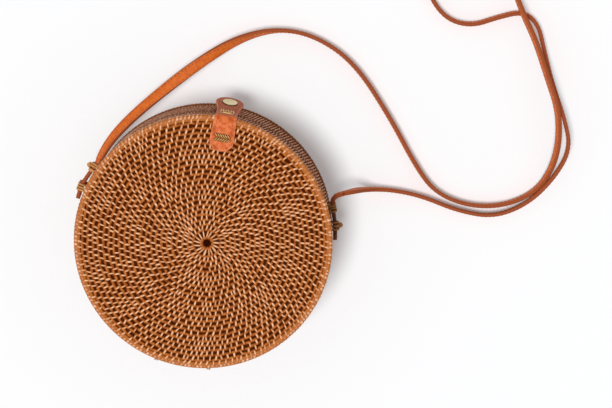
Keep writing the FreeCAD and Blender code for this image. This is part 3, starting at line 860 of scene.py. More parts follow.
@dataclass
class WovenFace:
    """Rings of vine with a dark core between them, crossed by slanting stitches; the core's colour is partly painted
    shade.

    A face is laid out with its outer side at height 0 and its inside at negative heights, and
    then turned into place by the half that it belongs to.
    """

    CORE = ((0.25, 0.75), (0.5, 1.0), (0.75, 0.75))  # places across a core and the shares of its rise
    CORE_LIFT = 0.6
    STRAYS, RUBS = (0.23, 0.41, 0.62), (0.37, 0.79, 1.0)  # waves round a ring for each of its stitches
    FULL_STRAY = 30.0  # radius from which a ring strays in full
    # Mean, swing and limits of how strongly the rings' painted shade and painted highlight show
    RUBBED, RUB_SWING, RUB_LIMITS = 0.55, 0.25, (0.1, 1.0)
    FORK_CHANCE = (0.8, 1.2)  # range of the weights by which the widest gap is chosen
    EASE_ROUNDS, EASE = 2, 0.35  # how the arms are evened out after they fork
    WIDTHS, HEIGHTS = (0.8, 1.16), (0.9, 1.04)  # ranges of the stitches' stretch
    ROCK = 0.1  # spread of the stitches' tilt to the side
    ROW_FIBRE = 1.6  # fibre coordinates to one millimetre across the rows

    first_ring: float
    pitch: float
    rows: int
    lean: float
    seed: int
    ring_half: float = 1.36
    ring_top: float = -0.6
    ring_waver: float = 0.17
    core_top: float = -1.75
    core_side: float = -2.3
    stitch_width: float = 1.62
    stitch_thickness: float = 1.5
    stitch_overlap: float = 1.5
    stitch_bend: float = 0.34
    stitch_flare: float = 1.3
    stitch_slip: float = 0.12
    own_lean: float = 0.36
    segments: int = 360

    def across(self, ring: float) -> float:
        """The place of a ring across the rows."""
        return self.first_ring + self.pitch * ring

    def girth(self, across: float) -> float:
        """The radius about the bag's axis at a place across the rows."""
        raise NotImplementedError

    def count(self, ring: int) -> int:
        """The number of stitches that start on a ring."""
        raise NotImplementedError

    def place(self, angle: np.ndarray, across: np.ndarray, height: np.ndarray) -> np.ndarray:
        """Points of the face in its own layout."""
        raise NotImplementedError

    def outward(self, angle: float) -> np.ndarray:
        """The way the face points at an angle."""
        raise NotImplementedError

    def section(self) -> list[ProfilePoint]:
        """The section through rings and cores, from the first ring to the last."""
        half, top = self.ring_half, self.ring_top
        # The lifts give each ring painted shade on its sides and a painted highlight on its top; the core between
        # rings takes painted shade at its sides
        sides = ((-0.92, self.core_side, 0.0), (-1.0, top - half, 0.15), (-0.66, top - 0.28, 0.6))
        points = []
        for ring in range(self.rows + 1):
            middle = self.across(ring)
            points += [ProfilePoint(middle + x * half, z, lift, ring) for x, z, lift in sides]
            points.append(ProfilePoint(middle, top, 1.0, ring))
            points += [ProfilePoint(middle - x * half, z, lift, ring) for x, z, lift in reversed(sides)]
            if ring < self.rows:
                low, high = middle + half, self.across(ring + 1) - half
                for share, rise in self.CORE:
                    height = self.core_side + rise * (self.core_top - self.core_side)
                    points.append(ProfilePoint(low + share * (high - low), height, rise * self.CORE_LIFT))
        return points

    def _waves(self, ring: int, seed: int, shares: Sequence[float], angles: np.ndarray) -> np.ndarray:
        """Waves along a ring, as many as the shares of its stitches say, each with a random start."""
        draw = random.Random(seed)
        counts = [round(share * self.count(ring)) for share in shares]
        return sum(np.sin(n * angles + draw.uniform(0, TAU)) for n in counts)

    def waver(self, ring: int, angles: np.ndarray) -> np.ndarray:
        """How far a ring strays to the side along its way, as hand-drawn vine does."""
        reach = self.ring_waver * min(1.0, self.girth(self.across(ring)) / self.FULL_STRAY)
        return reach * self._waves(ring, self.seed * 100 + ring, self.STRAYS, angles)

    def dapple(self, ring: int, angles: np.ndarray) -> np.ndarray:
        """How strongly a ring's painted shade and painted highlight show along its way, varied at random between the
        stitches that cross it.
        """
        waves = self._waves(ring, self.seed * 100 + ring + 50, self.RUBS, angles)
        return np.clip(self.RUBBED + self.RUB_SWING * waves, *self.RUB_LIMITS)

    def arms(self) -> Iterator[tuple[int, float, float]]:
        """Lays the stitches in arms that lean from ring to ring and fork as the rings grow.

        Yields:
            The row, the angle at which a stitch starts and the angle at which it ends.
        """
        draw = random.Random(self.seed)
        start = full_turn(self.count(0)).tolist()
        for row in range(self.rows):
            end = [a - self.lean / self.girth(self.across(row + 1)) for a in start]
            parents = list(range(len(start)))
            while len(end) < self.count(row + 1):
                gaps = [(end[(i + 1) % len(end)] - a) % TAU for i, a in enumerate(end)]
                weighed = [gap * draw.uniform(*self.FORK_CHANCE) for gap in gaps]
                widest = weighed.index(max(weighed))
                end.insert(widest + 1, end[widest] + gaps[widest] / 2)
                parents.insert(widest + 1, None)
            for _ in range(self.EASE_ROUNDS):
                before = [end[-1] - TAU] + end[:-1]
                after = end[1:] + [end[0] + TAU]
                end = [a + self.EASE * ((b + c) / 2 - a) for a, b, c in zip(end, before, after)]
            for angle, parent in zip(end, parents):
                if parent is not None:
                    yield row, start[parent], start[parent] + self.own_lean * (angle - start[parent])
            start = end

    def seats(self, turn: Matrix) -> list[Seat]:
        """Seats for the stitches.

        Args:
            turn: The half's place.

        Returns:
            One seat for each stitch.
        """
        draw = random.Random(self.seed + 1)
        made = []
        height = -self.stitch_thickness / 2
        for row, first, last in self.arms():
            slip = self.stitch_slip * self.pitch / self.girth(self.across(row + 0.5))
            first += draw.gauss(0, slip)
            last += draw.gauss(0, slip)
            inner = self.place(first, self.across(row), height)
            outer = self.place(last, self.across(row + 1), height)
            place, along = (inner + outer) / 2, outer - inner
            length = (np.linalg.norm(along) + self.stitch_overlap) / self.nominal_length()
            stretch = (length, draw.uniform(*self.WIDTHS), draw.uniform(*self.HEIGHTS))
            rock = draw.gauss(0, self.ROCK) * unit(np.cross(place, along))
            normal = self.outward((first + last) / 2) + rock
            made.append(Seat(place, along, normal, stretch, draw.random()).moved(turn))
        return made

    def nominal_length(self) -> float:
        """The length of a stitch before it is stretched to its row."""
        return self.pitch + self.stitch_overlap

    def strand(self) -> Strand:
        """The stitch's own shape."""
        sizes = (self.nominal_length(), self.stitch_width, self.stitch_thickness, self.stitch_bend)
        return Strand(*sizes, flare=self.stitch_flare)

    def skins(self, finishes: Finishes) -> tuple[Material, Material]:
        """The materials of the rings and of the cores between them."""
        return finishes.ring, finishes.core

    def body(
        self, name: str, turn: Matrix, finishes: Finishes, head: list[ProfilePoint], tail: list[ProfilePoint],
        loop: bool,
    ) -> Object:
        """Turns the section about the bag's axis.

        Args:
            name: The piece's name.
            turn: The half's place.
            finishes: The bag's materials.
            head: Section points before the first ring.
            tail: Section points after the last ring.
            loop: Whether the section closes on itself; otherwise it runs from axis to axis.

        Returns:
            The piece.
        """
        profile = head + self.section() + tail
        columns = len(profile)
        angles = full_turn(self.segments)
        still = np.zeros_like(angles)
        spread, lift = [], []
        for p in profile:
            plain = p.ring is None
            stray = still if plain else self.waver(p.ring, angles)
            spread.append(self.place(angles, p.across + stray, p.height + still))
            lift.append(p.lift + still if plain else p.lift * self.dapple(p.ring, angles))
        laid = np.stack(spread, axis=1).reshape(-1, 3)
        faces, bands = [], []
        for c in range(columns if loop else columns - 1):
            d = (c + 1) % columns
            for r in range(self.segments):
                s = (r + 1) % self.segments
                faces.append((r * columns + c, s * columns + c, s * columns + d, r * columns + d))
                bands.append(int(None in (profile[c].ring, profile[d].ring)))
        fibre = laid * COIL_FIBRE
        fibre[:, 2] = np.tile([p.across * self.ROW_FIBRE for p in profile], self.segments)
        draw = random.Random(self.seed + 2)
        tone = np.tile([draw.random() for _ in profile], self.segments)
        floats = {"lift": np.stack(lift, axis=1), "tone": tone}
        skins = self.skins(finishes)
        return new_piece(name, turned(turn, laid), faces, *skins, bands=bands, floats=floats, fibre=fibre)


@dataclass
class PanelFace(WovenFace):
    """The round face of a half, coiled about a centre that lies beside the bag's axis."""

    WAVES = ((5, 1.7, 1.0), (11, -0.9, 0.6))  # waves round a turn, their shift from turn to turn, their size
    EDGE_CALM, EYE_CALM = 6, 3  # how fast the waver fades out at the edge, and turns over which it comes in

    edge: float = 95.15
    thickness: float = 4.0
    swirl: tuple[float, float] = (0.0, 0.0)
    wobble: float = 0.14
    stitches_at_centre: float = 12.0
    stitches_per_radius: float = 1.2

    def girth(self, across: float) -> float:
        """The ring's radius."""
        return across

    def count(self, ring: int) -> int:
        """Stitches grow in number with the radius."""
        return round(self.stitches_at_centre + self.stitches_per_radius * self.across(ring))

    def place(self, angle: np.ndarray, across: np.ndarray, height: np.ndarray) -> np.ndarray:
        """Points of the panel, with the centre's offset and a hand-made waver."""
        inside = np.clip(1 - np.asarray(across) / self.edge, 0, 1)
        turns = np.asarray(across) / self.pitch
        fade = np.minimum(1, self.EDGE_CALM * inside) * np.minimum(1, turns / self.EYE_CALM)
        waves = sum(size * np.sin(n * angle + shift * turns) for n, shift, size in self.WAVES)
        radius = across + self.wobble * fade * waves
        x = radius * np.cos(angle) + self.swirl[0] * inside
        y = radius * np.sin(angle) + self.swirl[1] * inside
        return np.stack((x, y, height + 0 * x), axis=-1)

    def outward(self, angle: float) -> np.ndarray:
        """The panel points along the axis."""
        return UP


@dataclass
class WallFace(WovenFace):
    """The side wall of a half, with its rings stacked from the face to the mouth."""

    WAVES = 7

    radius: float = 99.2
    thickness: float = 3.4
    wobble: float = 0.12
    stitches: int = 250

    def girth(self, across: float) -> float:
        """The wall's radius."""
        return self.radius

    def strand(self) -> Strand:
        """The wall's many stitches have one side fewer."""
        return replace(super().strand(), sides=7)

    def skins(self, finishes: Finishes) -> tuple[Material, Material]:
        """The wall's rings take the darker vine: painted shade for the shade that its stitches cast."""
        return finishes.shade, finishes.core

    def count(self, ring: int) -> int:
        """Every ring has the same number of stitches."""
        return self.stitches

    def place(self, angle: np.ndarray, across: np.ndarray, height: np.ndarray) -> np.ndarray:
        """Points of the wall; across is the depth below the face."""
        radius = self.radius + height
        depth = across + self.wobble * np.sin(self.WAVES * angle + across)
        x = radius * np.cos(angle)
        return np.stack((x, radius * np.sin(angle), -depth + 0 * x), axis=-1)

    def outward(self, angle: float) -> np.ndarray:
        """The wall points away from the axis."""
        return level(angle)

    def build(self, name: str, turn: Matrix, finishes: Finishes) -> Object:
        """Builds rings, cores and the plain inside."""
        ends = (self.across(self.rows) + self.ring_half, self.first_ring - self.ring_half)
        tail = [ProfilePoint(across, -self.thickness, 0.0) for across in ends]
        return self.body(name, turn, finishes, [], tail, loop=True)


@dataclass
class WrappedRing:
    """A round coil that is wrapped with strands side by side. Its angles are in degrees."""

    BULGE = 0.6  # below 1, the coil's section is squarer than a circle
    WRAP_SIDES, WRAP_RINGS = 8, 11
    WIDTHS, HEIGHTS = (0.8, 1.2), (0.92, 1.0)  # ranges of the wraps' stretch
    SLIP = 0.06  # spread of the wraps' places, as a share of their pitch
    SECTION_FIBRE = 2  # fibre coordinates to one radian round the section

    radius: float
    depth: float
    half: float
    wrap_radius: float
    wrap_width: float
    wrap_thickness: float
    wrap_bend: float
    facing: float
    count: int
    seed: int
    lean: float = -14.0
    tone: float = 0.4
    segments: int = 160
    sides: int = 14

    def strand(self) -> Strand:
        """One wrap's own shape, bent round the coil."""
        bend = math.radians(self.wrap_bend)
        sizes = (2 * bend * self.wrap_radius, self.wrap_width, self.wrap_thickness, bend)
        return Strand(*sizes, self.WRAP_SIDES, self.WRAP_RINGS)

    def core(self, name: str, turn: Matrix, material: Material, lift: float) -> Object:
        """Builds the coil under the wraps as a rounded ring.

        Args:
            name: The piece's name.
            turn: The half's place.
            material: The coil's material.
            lift: How much painted highlight the coil takes over its painted shade, from 0 to 1.

        Returns:
            The piece.
        """
        section = full_turn(self.sides)
        across, above = (
            self.half * np.sign(wave) * np.abs(wave) ** self.BULGE for wave in (np.cos(section), np.sin(section))
        )
        laid = revolved(self.radius + across, above - self.depth, self.segments).reshape(-1, 3)
        faces = grid_faces(self.segments, self.sides, True, True)
        fibre = laid * COIL_FIBRE
        fibre[:, 2] = np.tile(section * self.SECTION_FIBRE, self.segments)
        floats = {"lift": np.full(len(laid), lift), "tone": np.full(len(laid), self.tone)}
        return new_piece(name, turned(turn, laid), faces, material, floats=floats, fibre=fibre)

    def seats(self, turn: Matrix) -> list[Seat]:
        """Seats for the wraps.

        Args:
            turn: The half's place.

        Returns:
            One seat for each wrap.
        """
        draw = random.Random(self.seed)
        facing, lean = math.radians(self.facing), math.tan(math.radians(self.lean))
        made = []
        for i in range(self.count):
            angle = TAU * (i + draw.gauss(0, self.SLIP)) / self.count
            radial = level(angle)
            normal = math.cos(facing) * radial + math.sin(facing) * UP
            along = math.sin(facing) * radial - math.cos(facing) * UP + lean * np.cross(UP, radial)
            place = radial * self.radius - UP * self.depth + normal * self.wrap_radius
            stretch = (1.0, draw.uniform(*self.WIDTHS), draw.uniform(*self.HEIGHTS))
            made.append(Seat(place, along, normal, stretch, draw.random()).moved(turn))
        return made


@dataclass
class Lining:
    """A cotton cup inside a half, with a rolled hem at the mouth."""

    RIPPLES, FLOOR_WAVE, WALL_WAVE = 9, 9, 7  # waves round the cup, and lengths of waves across it
    FLAT = 80  # radius within which ripples lift the cloth; beyond it they push it inwards
    EYE = 1  # radius within which the cloth lies still
    STRIP = 93  # radius beyond which the cloth is cut as a strip

    outer: float = 94.9
    floor_depth: float = 4.25
    cloth: float = 0.7
    hem: float = 0.55
    ripple: float = 0.16
    segments: int = 120
    floor_rings: int = 14
    wall_rings: int = 8

    def _section(self, mouth: float) -> tuple[list, list]:
        """Radius and depth of the section's points: outside with the hem, and inside."""
        inner, floor = self.outer - self.cloth, self.floor_depth + self.cloth
        rings, rows, hem = self.floor_rings, self.wall_rings, self.hem
        rise = mouth - hem - floor
        lip = mouth - 5 * hem
        fall = lip - floor - 2
        outside = [(self.outer * i / rings, self.floor_depth) for i in range(rings)]
        outside += [(self.outer, self.floor_depth + 0.8)]
        outside += [(self.outer, floor + rise * i / rows) for i in range(1, rows + 1)]
        outside += [(self.outer - 0.1, mouth - 0.1), (inner - 0.2, mouth), (inner - hem, mouth - hem)]
        outside += [(inner - hem, mouth - 3 * hem), (inner, mouth - 4 * hem)]
        inside = [(inner, lip - fall * i / rows) for i in range(rows + 1)]
        inside += [(inner - 0.6, floor + 0.3)]
        inside += [((inner - 2) * (1 - i / rings), floor) for i in range(rings + 1)]
        return outside, inside

    def build(self, name: str, turn: Matrix, mouth: float, material: Material) -> Object:
        """Builds the cup.

        Args:
            name: The piece's name.
            turn: The half's place.
            mouth: The depth of the hem's edge below the face.
            material: The cotton.

        Returns:
            The piece.
        """
        outside, inside = self._section(mouth)
        radius, depth = np.array(outside + inside).T
        shown = np.arange(len(radius)) >= len(outside)
        around = full_turn(self.segments)[:, None]
        waves = np.sin(self.RIPPLES * around) * np.sin(radius / self.FLOOR_WAVE + depth / self.WALL_WAVE)
        ripple = self.ripple * np.abs(waves) * shown
        laid_radius = radius - ripple * (radius > self.FLAT)
        laid_depth = depth + ripple * (radius <= self.FLAT) * (radius > self.EYE)
        laid = revolved(laid_radius, -laid_depth, self.segments)
        faces = grid_faces(self.segments, len(radius), wrap_rows=True)
        strip = radius > self.STRIP
        u = np.where(strip, around * self.outer, laid[..., 0])
        v = np.where(strip, depth, laid[..., 1])
        uv = np.stack((u, v), axis=-1).reshape(-1, 2) / UV_UNIT
        return new_piece(name, turned(turn, laid.reshape(-1, 3)), faces, material, uv=uv)


@dataclass
class WovenHalf:
    """One half of the bag: panel, corner coil, side wall, rim binding and lining."""

    half: Half
    depth: float
    radius: float
    face_height: float
    seed: int
    swirl: tuple[float, float]
    wall_rows: int
    panel_rows: int = 22
    eye_ring: float = 4.3
    petal_ring: float = 10.7
    lean: float = 2.3
    wall_lean: float = 0.55
    coil_height: float = 4.8
    coil_swell: float = 0.4
    shoulder: float = 2.6
    margin: float = 0.9
    binding_height: float = 4.2
    binding_half: float = 1.9
    parting: float = 0.15
    wall_inset: float = 0.8
    hem_inset: float = 1.1

    def turn(self) -> Matrix:
        """The half's place: the front stands at its height and the back is turned over."""
        if self.half is Half.FRONT:
            return Matrix.Translation((0, 0, self.face_height))
        return Matrix.Rotation(math.pi, 4, "X")

    def build(self, planter: StrandPlanter, finishes: Finishes) -> None:
        """Builds and dresses every piece of the half.

        Args:
            planter: The strand planter.
            finishes: The bag's materials.
        """
        self._panel(planter, finishes)
        self._wall(planter, finishes)
        self._coil(planter, finishes)
        self._binding(planter, finishes)
        self._lining(finishes)

    def _name(self, word: str) -> str:
        """A piece's name in this half."""
        return f"{self.half.prefix}_{word}"

    def _stitch(
        self, word: str, face: WovenFace | WrappedRing, planter: StrandPlanter, material: Material
    ) -> None:
        """Plants the stitches of a face or the wraps of a coil."""
        seats = face.seats(self.turn())
        planter.plant(self._name(word), seats, face.strand(), material, self.half.value, Slot.WEAVE)

    def _panel(self, planter: StrandPlanter, finishes: Finishes) -> None:
        """The coiled disc, with petals round its eye."""
        edge = self.radius - self.shoulder + self.margin
        pitch = (edge - self.margin - self.petal_ring) / self.panel_rows
        face = PanelFace(
            self.petal_ring, pitch, self.panel_rows, self.lean, self.seed, edge=edge, swirl=self.swirl
        )
        petals = PanelFace(
            self.eye_ring, self.petal_ring - self.eye_ring, 1, self.lean, self.seed, edge=edge, swirl=self.swirl,
            ring_half=1.5, stitch_width=1.6, own_lean=0.9, stitch_flare=1.0, stitch_slip=0.05,
        )
        disc = self._disc(face, petals, finishes)
        on_body(disc, self.half.value, Slot.WEAVE, self._name("panel"))
        self._stitch("panel_stitches", face, planter, finishes.stitch)
        self._stitch("panel_petals", petals, planter, finishes.stitch)

    def _disc(self, face: PanelFace, petals: PanelFace, finishes: Finishes) -> Object:
        """The disc's rings and cores, from its eye to its edge."""
        eye = petals.first_ring - petals.ring_half
        between = [p for p in petals.section() if p.across < face.first_ring - face.ring_half]
        head = [
            ProfilePoint(0.0, -3.2, 0.0),
            ProfilePoint(0.7 * eye, -3.0, 0.0),
            ProfilePoint(0.96 * eye, -2.0, 0.1),
        ]
        tail = [
            ProfilePoint(face.edge, -2.4, 0.0),
            ProfilePoint(face.edge - 2.5, -face.thickness, 0.0),
            ProfilePoint(0.0, -face.thickness, 0.0),
        ]
        return face.body(self._name("panel_coil"), self.turn(), finishes, head + between, tail, loop=False)

    def _wall(self, planter: StrandPlanter, finishes: Finishes) -> None:
        """The stitched side wall."""
        bottom = self.depth - self.parting - self.binding_height
        pitch = (bottom - self.coil_height - 2 * self.margin) / self.wall_rows
        wall = WallFace(
            self.coil_height + self.margin, pitch, self.wall_rows, self.wall_lean, self.seed + 10,
            radius=self.radius - self.wall_inset, ring_top=-1.25, stitch_width=1.2, stitch_slip=0.06, own_lean=1.0,
        )
        body = wall.build(self._name("wall_coil"), self.turn(), finishes)
        on_body(body, self.half.value, Slot.WEAVE, self._name("wall"))
        self._stitch("wall_stitches", wall, planter, finishes.side)

    def _wrapped(
        self, word: str, coil: WrappedRing, skin: Material, lift: float, planter: StrandPlanter, wrap: Material
    ) -> None:
        """A coil and its wraps."""
        core = coil.core(self._name(word + "_core"), self.turn(), skin, lift)
        on_body(core, self.half.value, Slot.WEAVE, self._name(word))
        self._stitch(word + "_wraps", coil, planter, wrap)

    def _coil(self, planter: StrandPlanter, finishes: Finishes) -> None:
        """The wrapped coil at the corner between panel and wall."""
        depth = self.coil_height / 2 + self.coil_swell
        coil = WrappedRing(
            radius=self.radius - depth, depth=depth, half=depth - 0.3, wrap_radius=depth - 0.45, wrap_width=2.5,
            wrap_thickness=1.1, wrap_bend=80.0, facing=42.0, count=200, seed=self.seed + 20,
        )
        # The back coil takes the darker vine: painted shade on the far side of the bag
        skin, lift = (finishes.ring, 0.7) if self.half is Half.FRONT else (finishes.shade, 0.5)
        self._wrapped("corner_coil", coil, skin, lift, planter, finishes.side)

    def _binding(self, planter: StrandPlanter, finishes: Finishes) -> None:
        """The wrapped edge of the mouth."""
        half = self.binding_half
        binding = WrappedRing(
            radius=self.radius - self.wall_inset - half, depth=self.depth - self.parting - half, half=half - 0.35,
            wrap_radius=half - 0.4, wrap_width=1.7, wrap_thickness=0.8, wrap_bend=118.0, facing=-90.0, count=208,
            seed=self.seed + 30,
        )
        # The binding's core takes the darker vine: painted shade in the groove between the halves
        self._wrapped("rim_binding", binding, finishes.shade, 0.3, planter, finishes.side)

    def _lining(self, finishes: Finishes) -> None:
        """The cotton cup."""
        lining = Lining()
        mouth = self.depth - self.parting - self.hem_inset
        piece = lining.build(self._name("lining_cloth"), self.turn(), mouth, finishes.cotton)
        on_body(piece, self.half.value, Slot.COTTON, self._name("lining"))


# Ribbons and tubes


@dataclass
class RibbonSection:
    """A flat strap's rounded section, as points across its width and thickness."""

    width: float = 9.0
    thickness: float = 2.9
    corner: float = 0.8
    crown: float = 0.1

    def points(self) -> np.ndarray:
        """Points round the section: across, through, and the distance from the cut edge."""
        half, deep, corner = self.width / 2, self.thickness / 2, self.corner
        flat = half - corner
        swell = 0.55 * flat
        face = [
            (-flat, deep, corner * 0.6),
            (-swell, deep + self.crown, half - swell),
            (0.0, deep + self.crown, half),
            (swell, deep + self.crown, half - swell),
            (flat, deep, corner * 0.6),
        ]
        edge = [
            (half - 0.3 * corner, deep - 0.3 * corner, 0.0),
            (half, deep - corner, 0.0),
            (half + self.crown, 0.0, 0.0),
            (half, -deep + corner, 0.0),
            (half - 0.3 * corner, -deep + 0.3 * corner, 0.0),
        ]
        side = face + edge
        return np.array(side + [(-a, -b, border) for a, b, border in side])


def ribbon(
    name: str, path: np.ndarray, roll: np.ndarray, section: RibbonSection, material: Material,
    shares: np.ndarray | float = 1.0,
) -> Object:
    """Sweeps a strap's section along a path.

    Args:
        name: The piece's name.
        path: Points of the centre line in millimetres.
        roll: The turn at each point, in radians; at 0 the strap stands on its edge.
        section: The strap's section.
        material: Its leather.
        shares: The share of the full width at each point.

    Returns:
        The piece.
    """
    shape = section.points()
    rows, columns = len(path), len(shape)
    across, through, border = shape.T
    wide, deep = ribbon_axes(path, roll)
    widths = np.broadcast_to(shares, rows)[:, None] * across
    laid = path[:, None] + widths[..., None] * wide[:, None] + through[:, None] * deep[:, None]
    faces = grid_faces(rows, columns, wrap_columns=True) + end_faces(rows, columns)
    uv = np.stack((np.tile(run_length(shape[:, :2]), rows), np.repeat(run_length(path), columns)), axis=-1)
    floats = {"border": np.tile(border, rows)}
    return new_piece(name, laid.reshape(-1, 3), faces, material, floats=floats, uv=uv / UV_UNIT)


def ribbon_axes(path: np.ndarray, roll: np.ndarray) -> tuple[np.ndarray, np.ndarray]:
    """The directions of a ribbon's width and of its outer face at each point of a path."""
    ahead = unit(np.gradient(path, axis=0))
    right = unit(np.cross(ahead, UP))
    up = np.cross(right, ahead)
    cosine, sine = np.cos(roll)[:, None], np.sin(roll)[:, None]
    return sine * right + cosine * up, sine * up - cosine * right


def tube(path: np.ndarray, radius: float, sides: int, closed: bool) -> tuple[np.ndarray, Faces, np.ndarray]:
    """Sweeps a round section along a path.

    Args:
        path: Points of the centre line.
        radius: The tube's radius.
        sides: The number of sides.
        closed: Whether the path closes on itself.

    Returns:
        Vertices, faces and fibre coordinates.
    """
    rows = len(path)
    if closed:
        ahead = unit(np.roll(path, -1, axis=0) - np.roll(path, 1, axis=0))
    else:
        ahead = unit(np.gradient(path, axis=0))
    plane = np.linalg.svd(path - path.mean(axis=0))[2][2]
    side = unit(np.cross(ahead, plane))
    over = np.cross(side, ahead)
    cosine, sine = np.cos(full_turn(sides)), np.sin(full_turn(sides))
    ring = cosine[:, None] * side[:, None] + sine[:, None] * over[:, None]
    laid = (path[:, None] + radius * ring).reshape(-1, 3)
    faces = grid_faces(rows, sides, closed, True) + ([] if closed else end_faces(rows, sides))
    run = np.repeat(run_length(path), sides) * TUBE_FIBRE
    return laid, faces, np.stack((run, np.tile(cosine, rows), np.tile(sine, rows)), axis=-1)


class StrandBundle:
    """Several tubes of cane gathered into one mesh."""

    SIDES = 10
    LIFT = 0.8

    def __init__(self) -> None:
        """Starts an empty bundle."""
        self.points: list[np.ndarray] = []
        self.faces: Faces = []
        self.fibres: list[np.ndarray] = []
        self.tones: list[np.ndarray] = []
        self.total = 0

    def add(self, path: np.ndarray, radius: float, tone: float, closed: bool = False) -> None:
        """Adds one strand.

        Args:
            path: Its centre line in millimetres.
            radius: Its radius.
            tone: Its tone.
            closed: Whether it closes on itself.
        """
        laid, faces, fibre = tube(path, radius, self.SIDES, closed)
        self.faces += [tuple(v + self.total for v in f) for f in faces]
        self.points.append(laid)
        self.fibres.append(fibre)
        self.tones.append(np.full(len(laid), tone))
        self.total += len(laid)

    def lash(self, node: str, material: Material) -> None:
        """Joins the strands into one piece on the back half, in place of a CAD node."""
        points, tone, fibre = (np.concatenate(part) for part in (self.points, self.tones, self.fibres))
        floats = {"lift": np.full(len(points), self.LIFT), "tone": tone}
        piece = new_piece(node + "_cane", points, self.faces, material, floats=floats, fibre=fibre)
        on_body(piece, Half.BACK.value, Slot.CANE, node)


# The strap

# Route of the free strap from its left lashing to its right one.
STRAP_ROUTE = (
    (-93.551, 42.141, 32.0), (-90.6, 53.5, 31.3), (-78.2, 74.8, 28.5), (-57.4, 100.5, 23.0),
    (-30.4, 130.4, 16.5), (-2.8, 154.9, 10.5), (26.7, 167.9, 6.3), (57.3, 167.1, 4.7),
    (91.0, 151.9, 4.7), (126.3, 115.4, 4.7), (155.8, 78.7, 4.7), (175.5, 60.8, 4.7),
    (203.9, 55.3, 4.7), (232.0, 60.9, 4.7), (254.2, 76.5, 4.7), (262.5, 97.7, 10.7),
    (262.1, 121.8, 19.0), (255.1, 147.4, 24.4), (242.0, 169.8, 22.4), (227.6, 196.1, 17.4),
    (212.4, 216.7, 14.4), (199.8, 237.9, 10.6), (182.0, 254.2, 5.5), (156.0, 256.1, 4.7),
    (136.8, 241.9, 4.7), (134.5, 220.9, 4.7), (153.2, 200.6, 4.7), (175.6, 197.8, 4.7),
    (196.3, 209.4, 4.7), (214.4, 217.2, 4.7), (228.3, 209.4, 4.7), (237.2, 189.4, 6.7),
    (248.4, 165.6, 11.7), (262.7, 141.0, 15.7), (272.5, 118.6, 16.7), (266.6, 94.4, 12.7),
    (251.1, 67.6, 7.7), (225.8, 50.0, 4.7), (194.8, 49.9, 4.7), (165.9, 56.1, 4.7),
    (142.3, 56.9, 4.7), (125.0, 55.1, 7.4), (114.4, 54.4, 18.0), (106.4, 53.4, 31.0),
    (101.14, 51.36, 32.0),
)

# Turn of the strap along its line: spans of the spline and degrees from standing on edge.
STRAP_TURNS = (
    (0, 30), (0.5, 37), (1, 43), (1.6, 49), (2.2, 57), (2.8, 74), (3.3, 97), (4, 124), (4.5, 143), (5, 157),
    (5.5, 170), (6, 174), (10, 173), (13, 178), (15, 190), (19, 190), (21, 182), (36, 187), (39, 187), (41, 182),
    (43, 180),
)


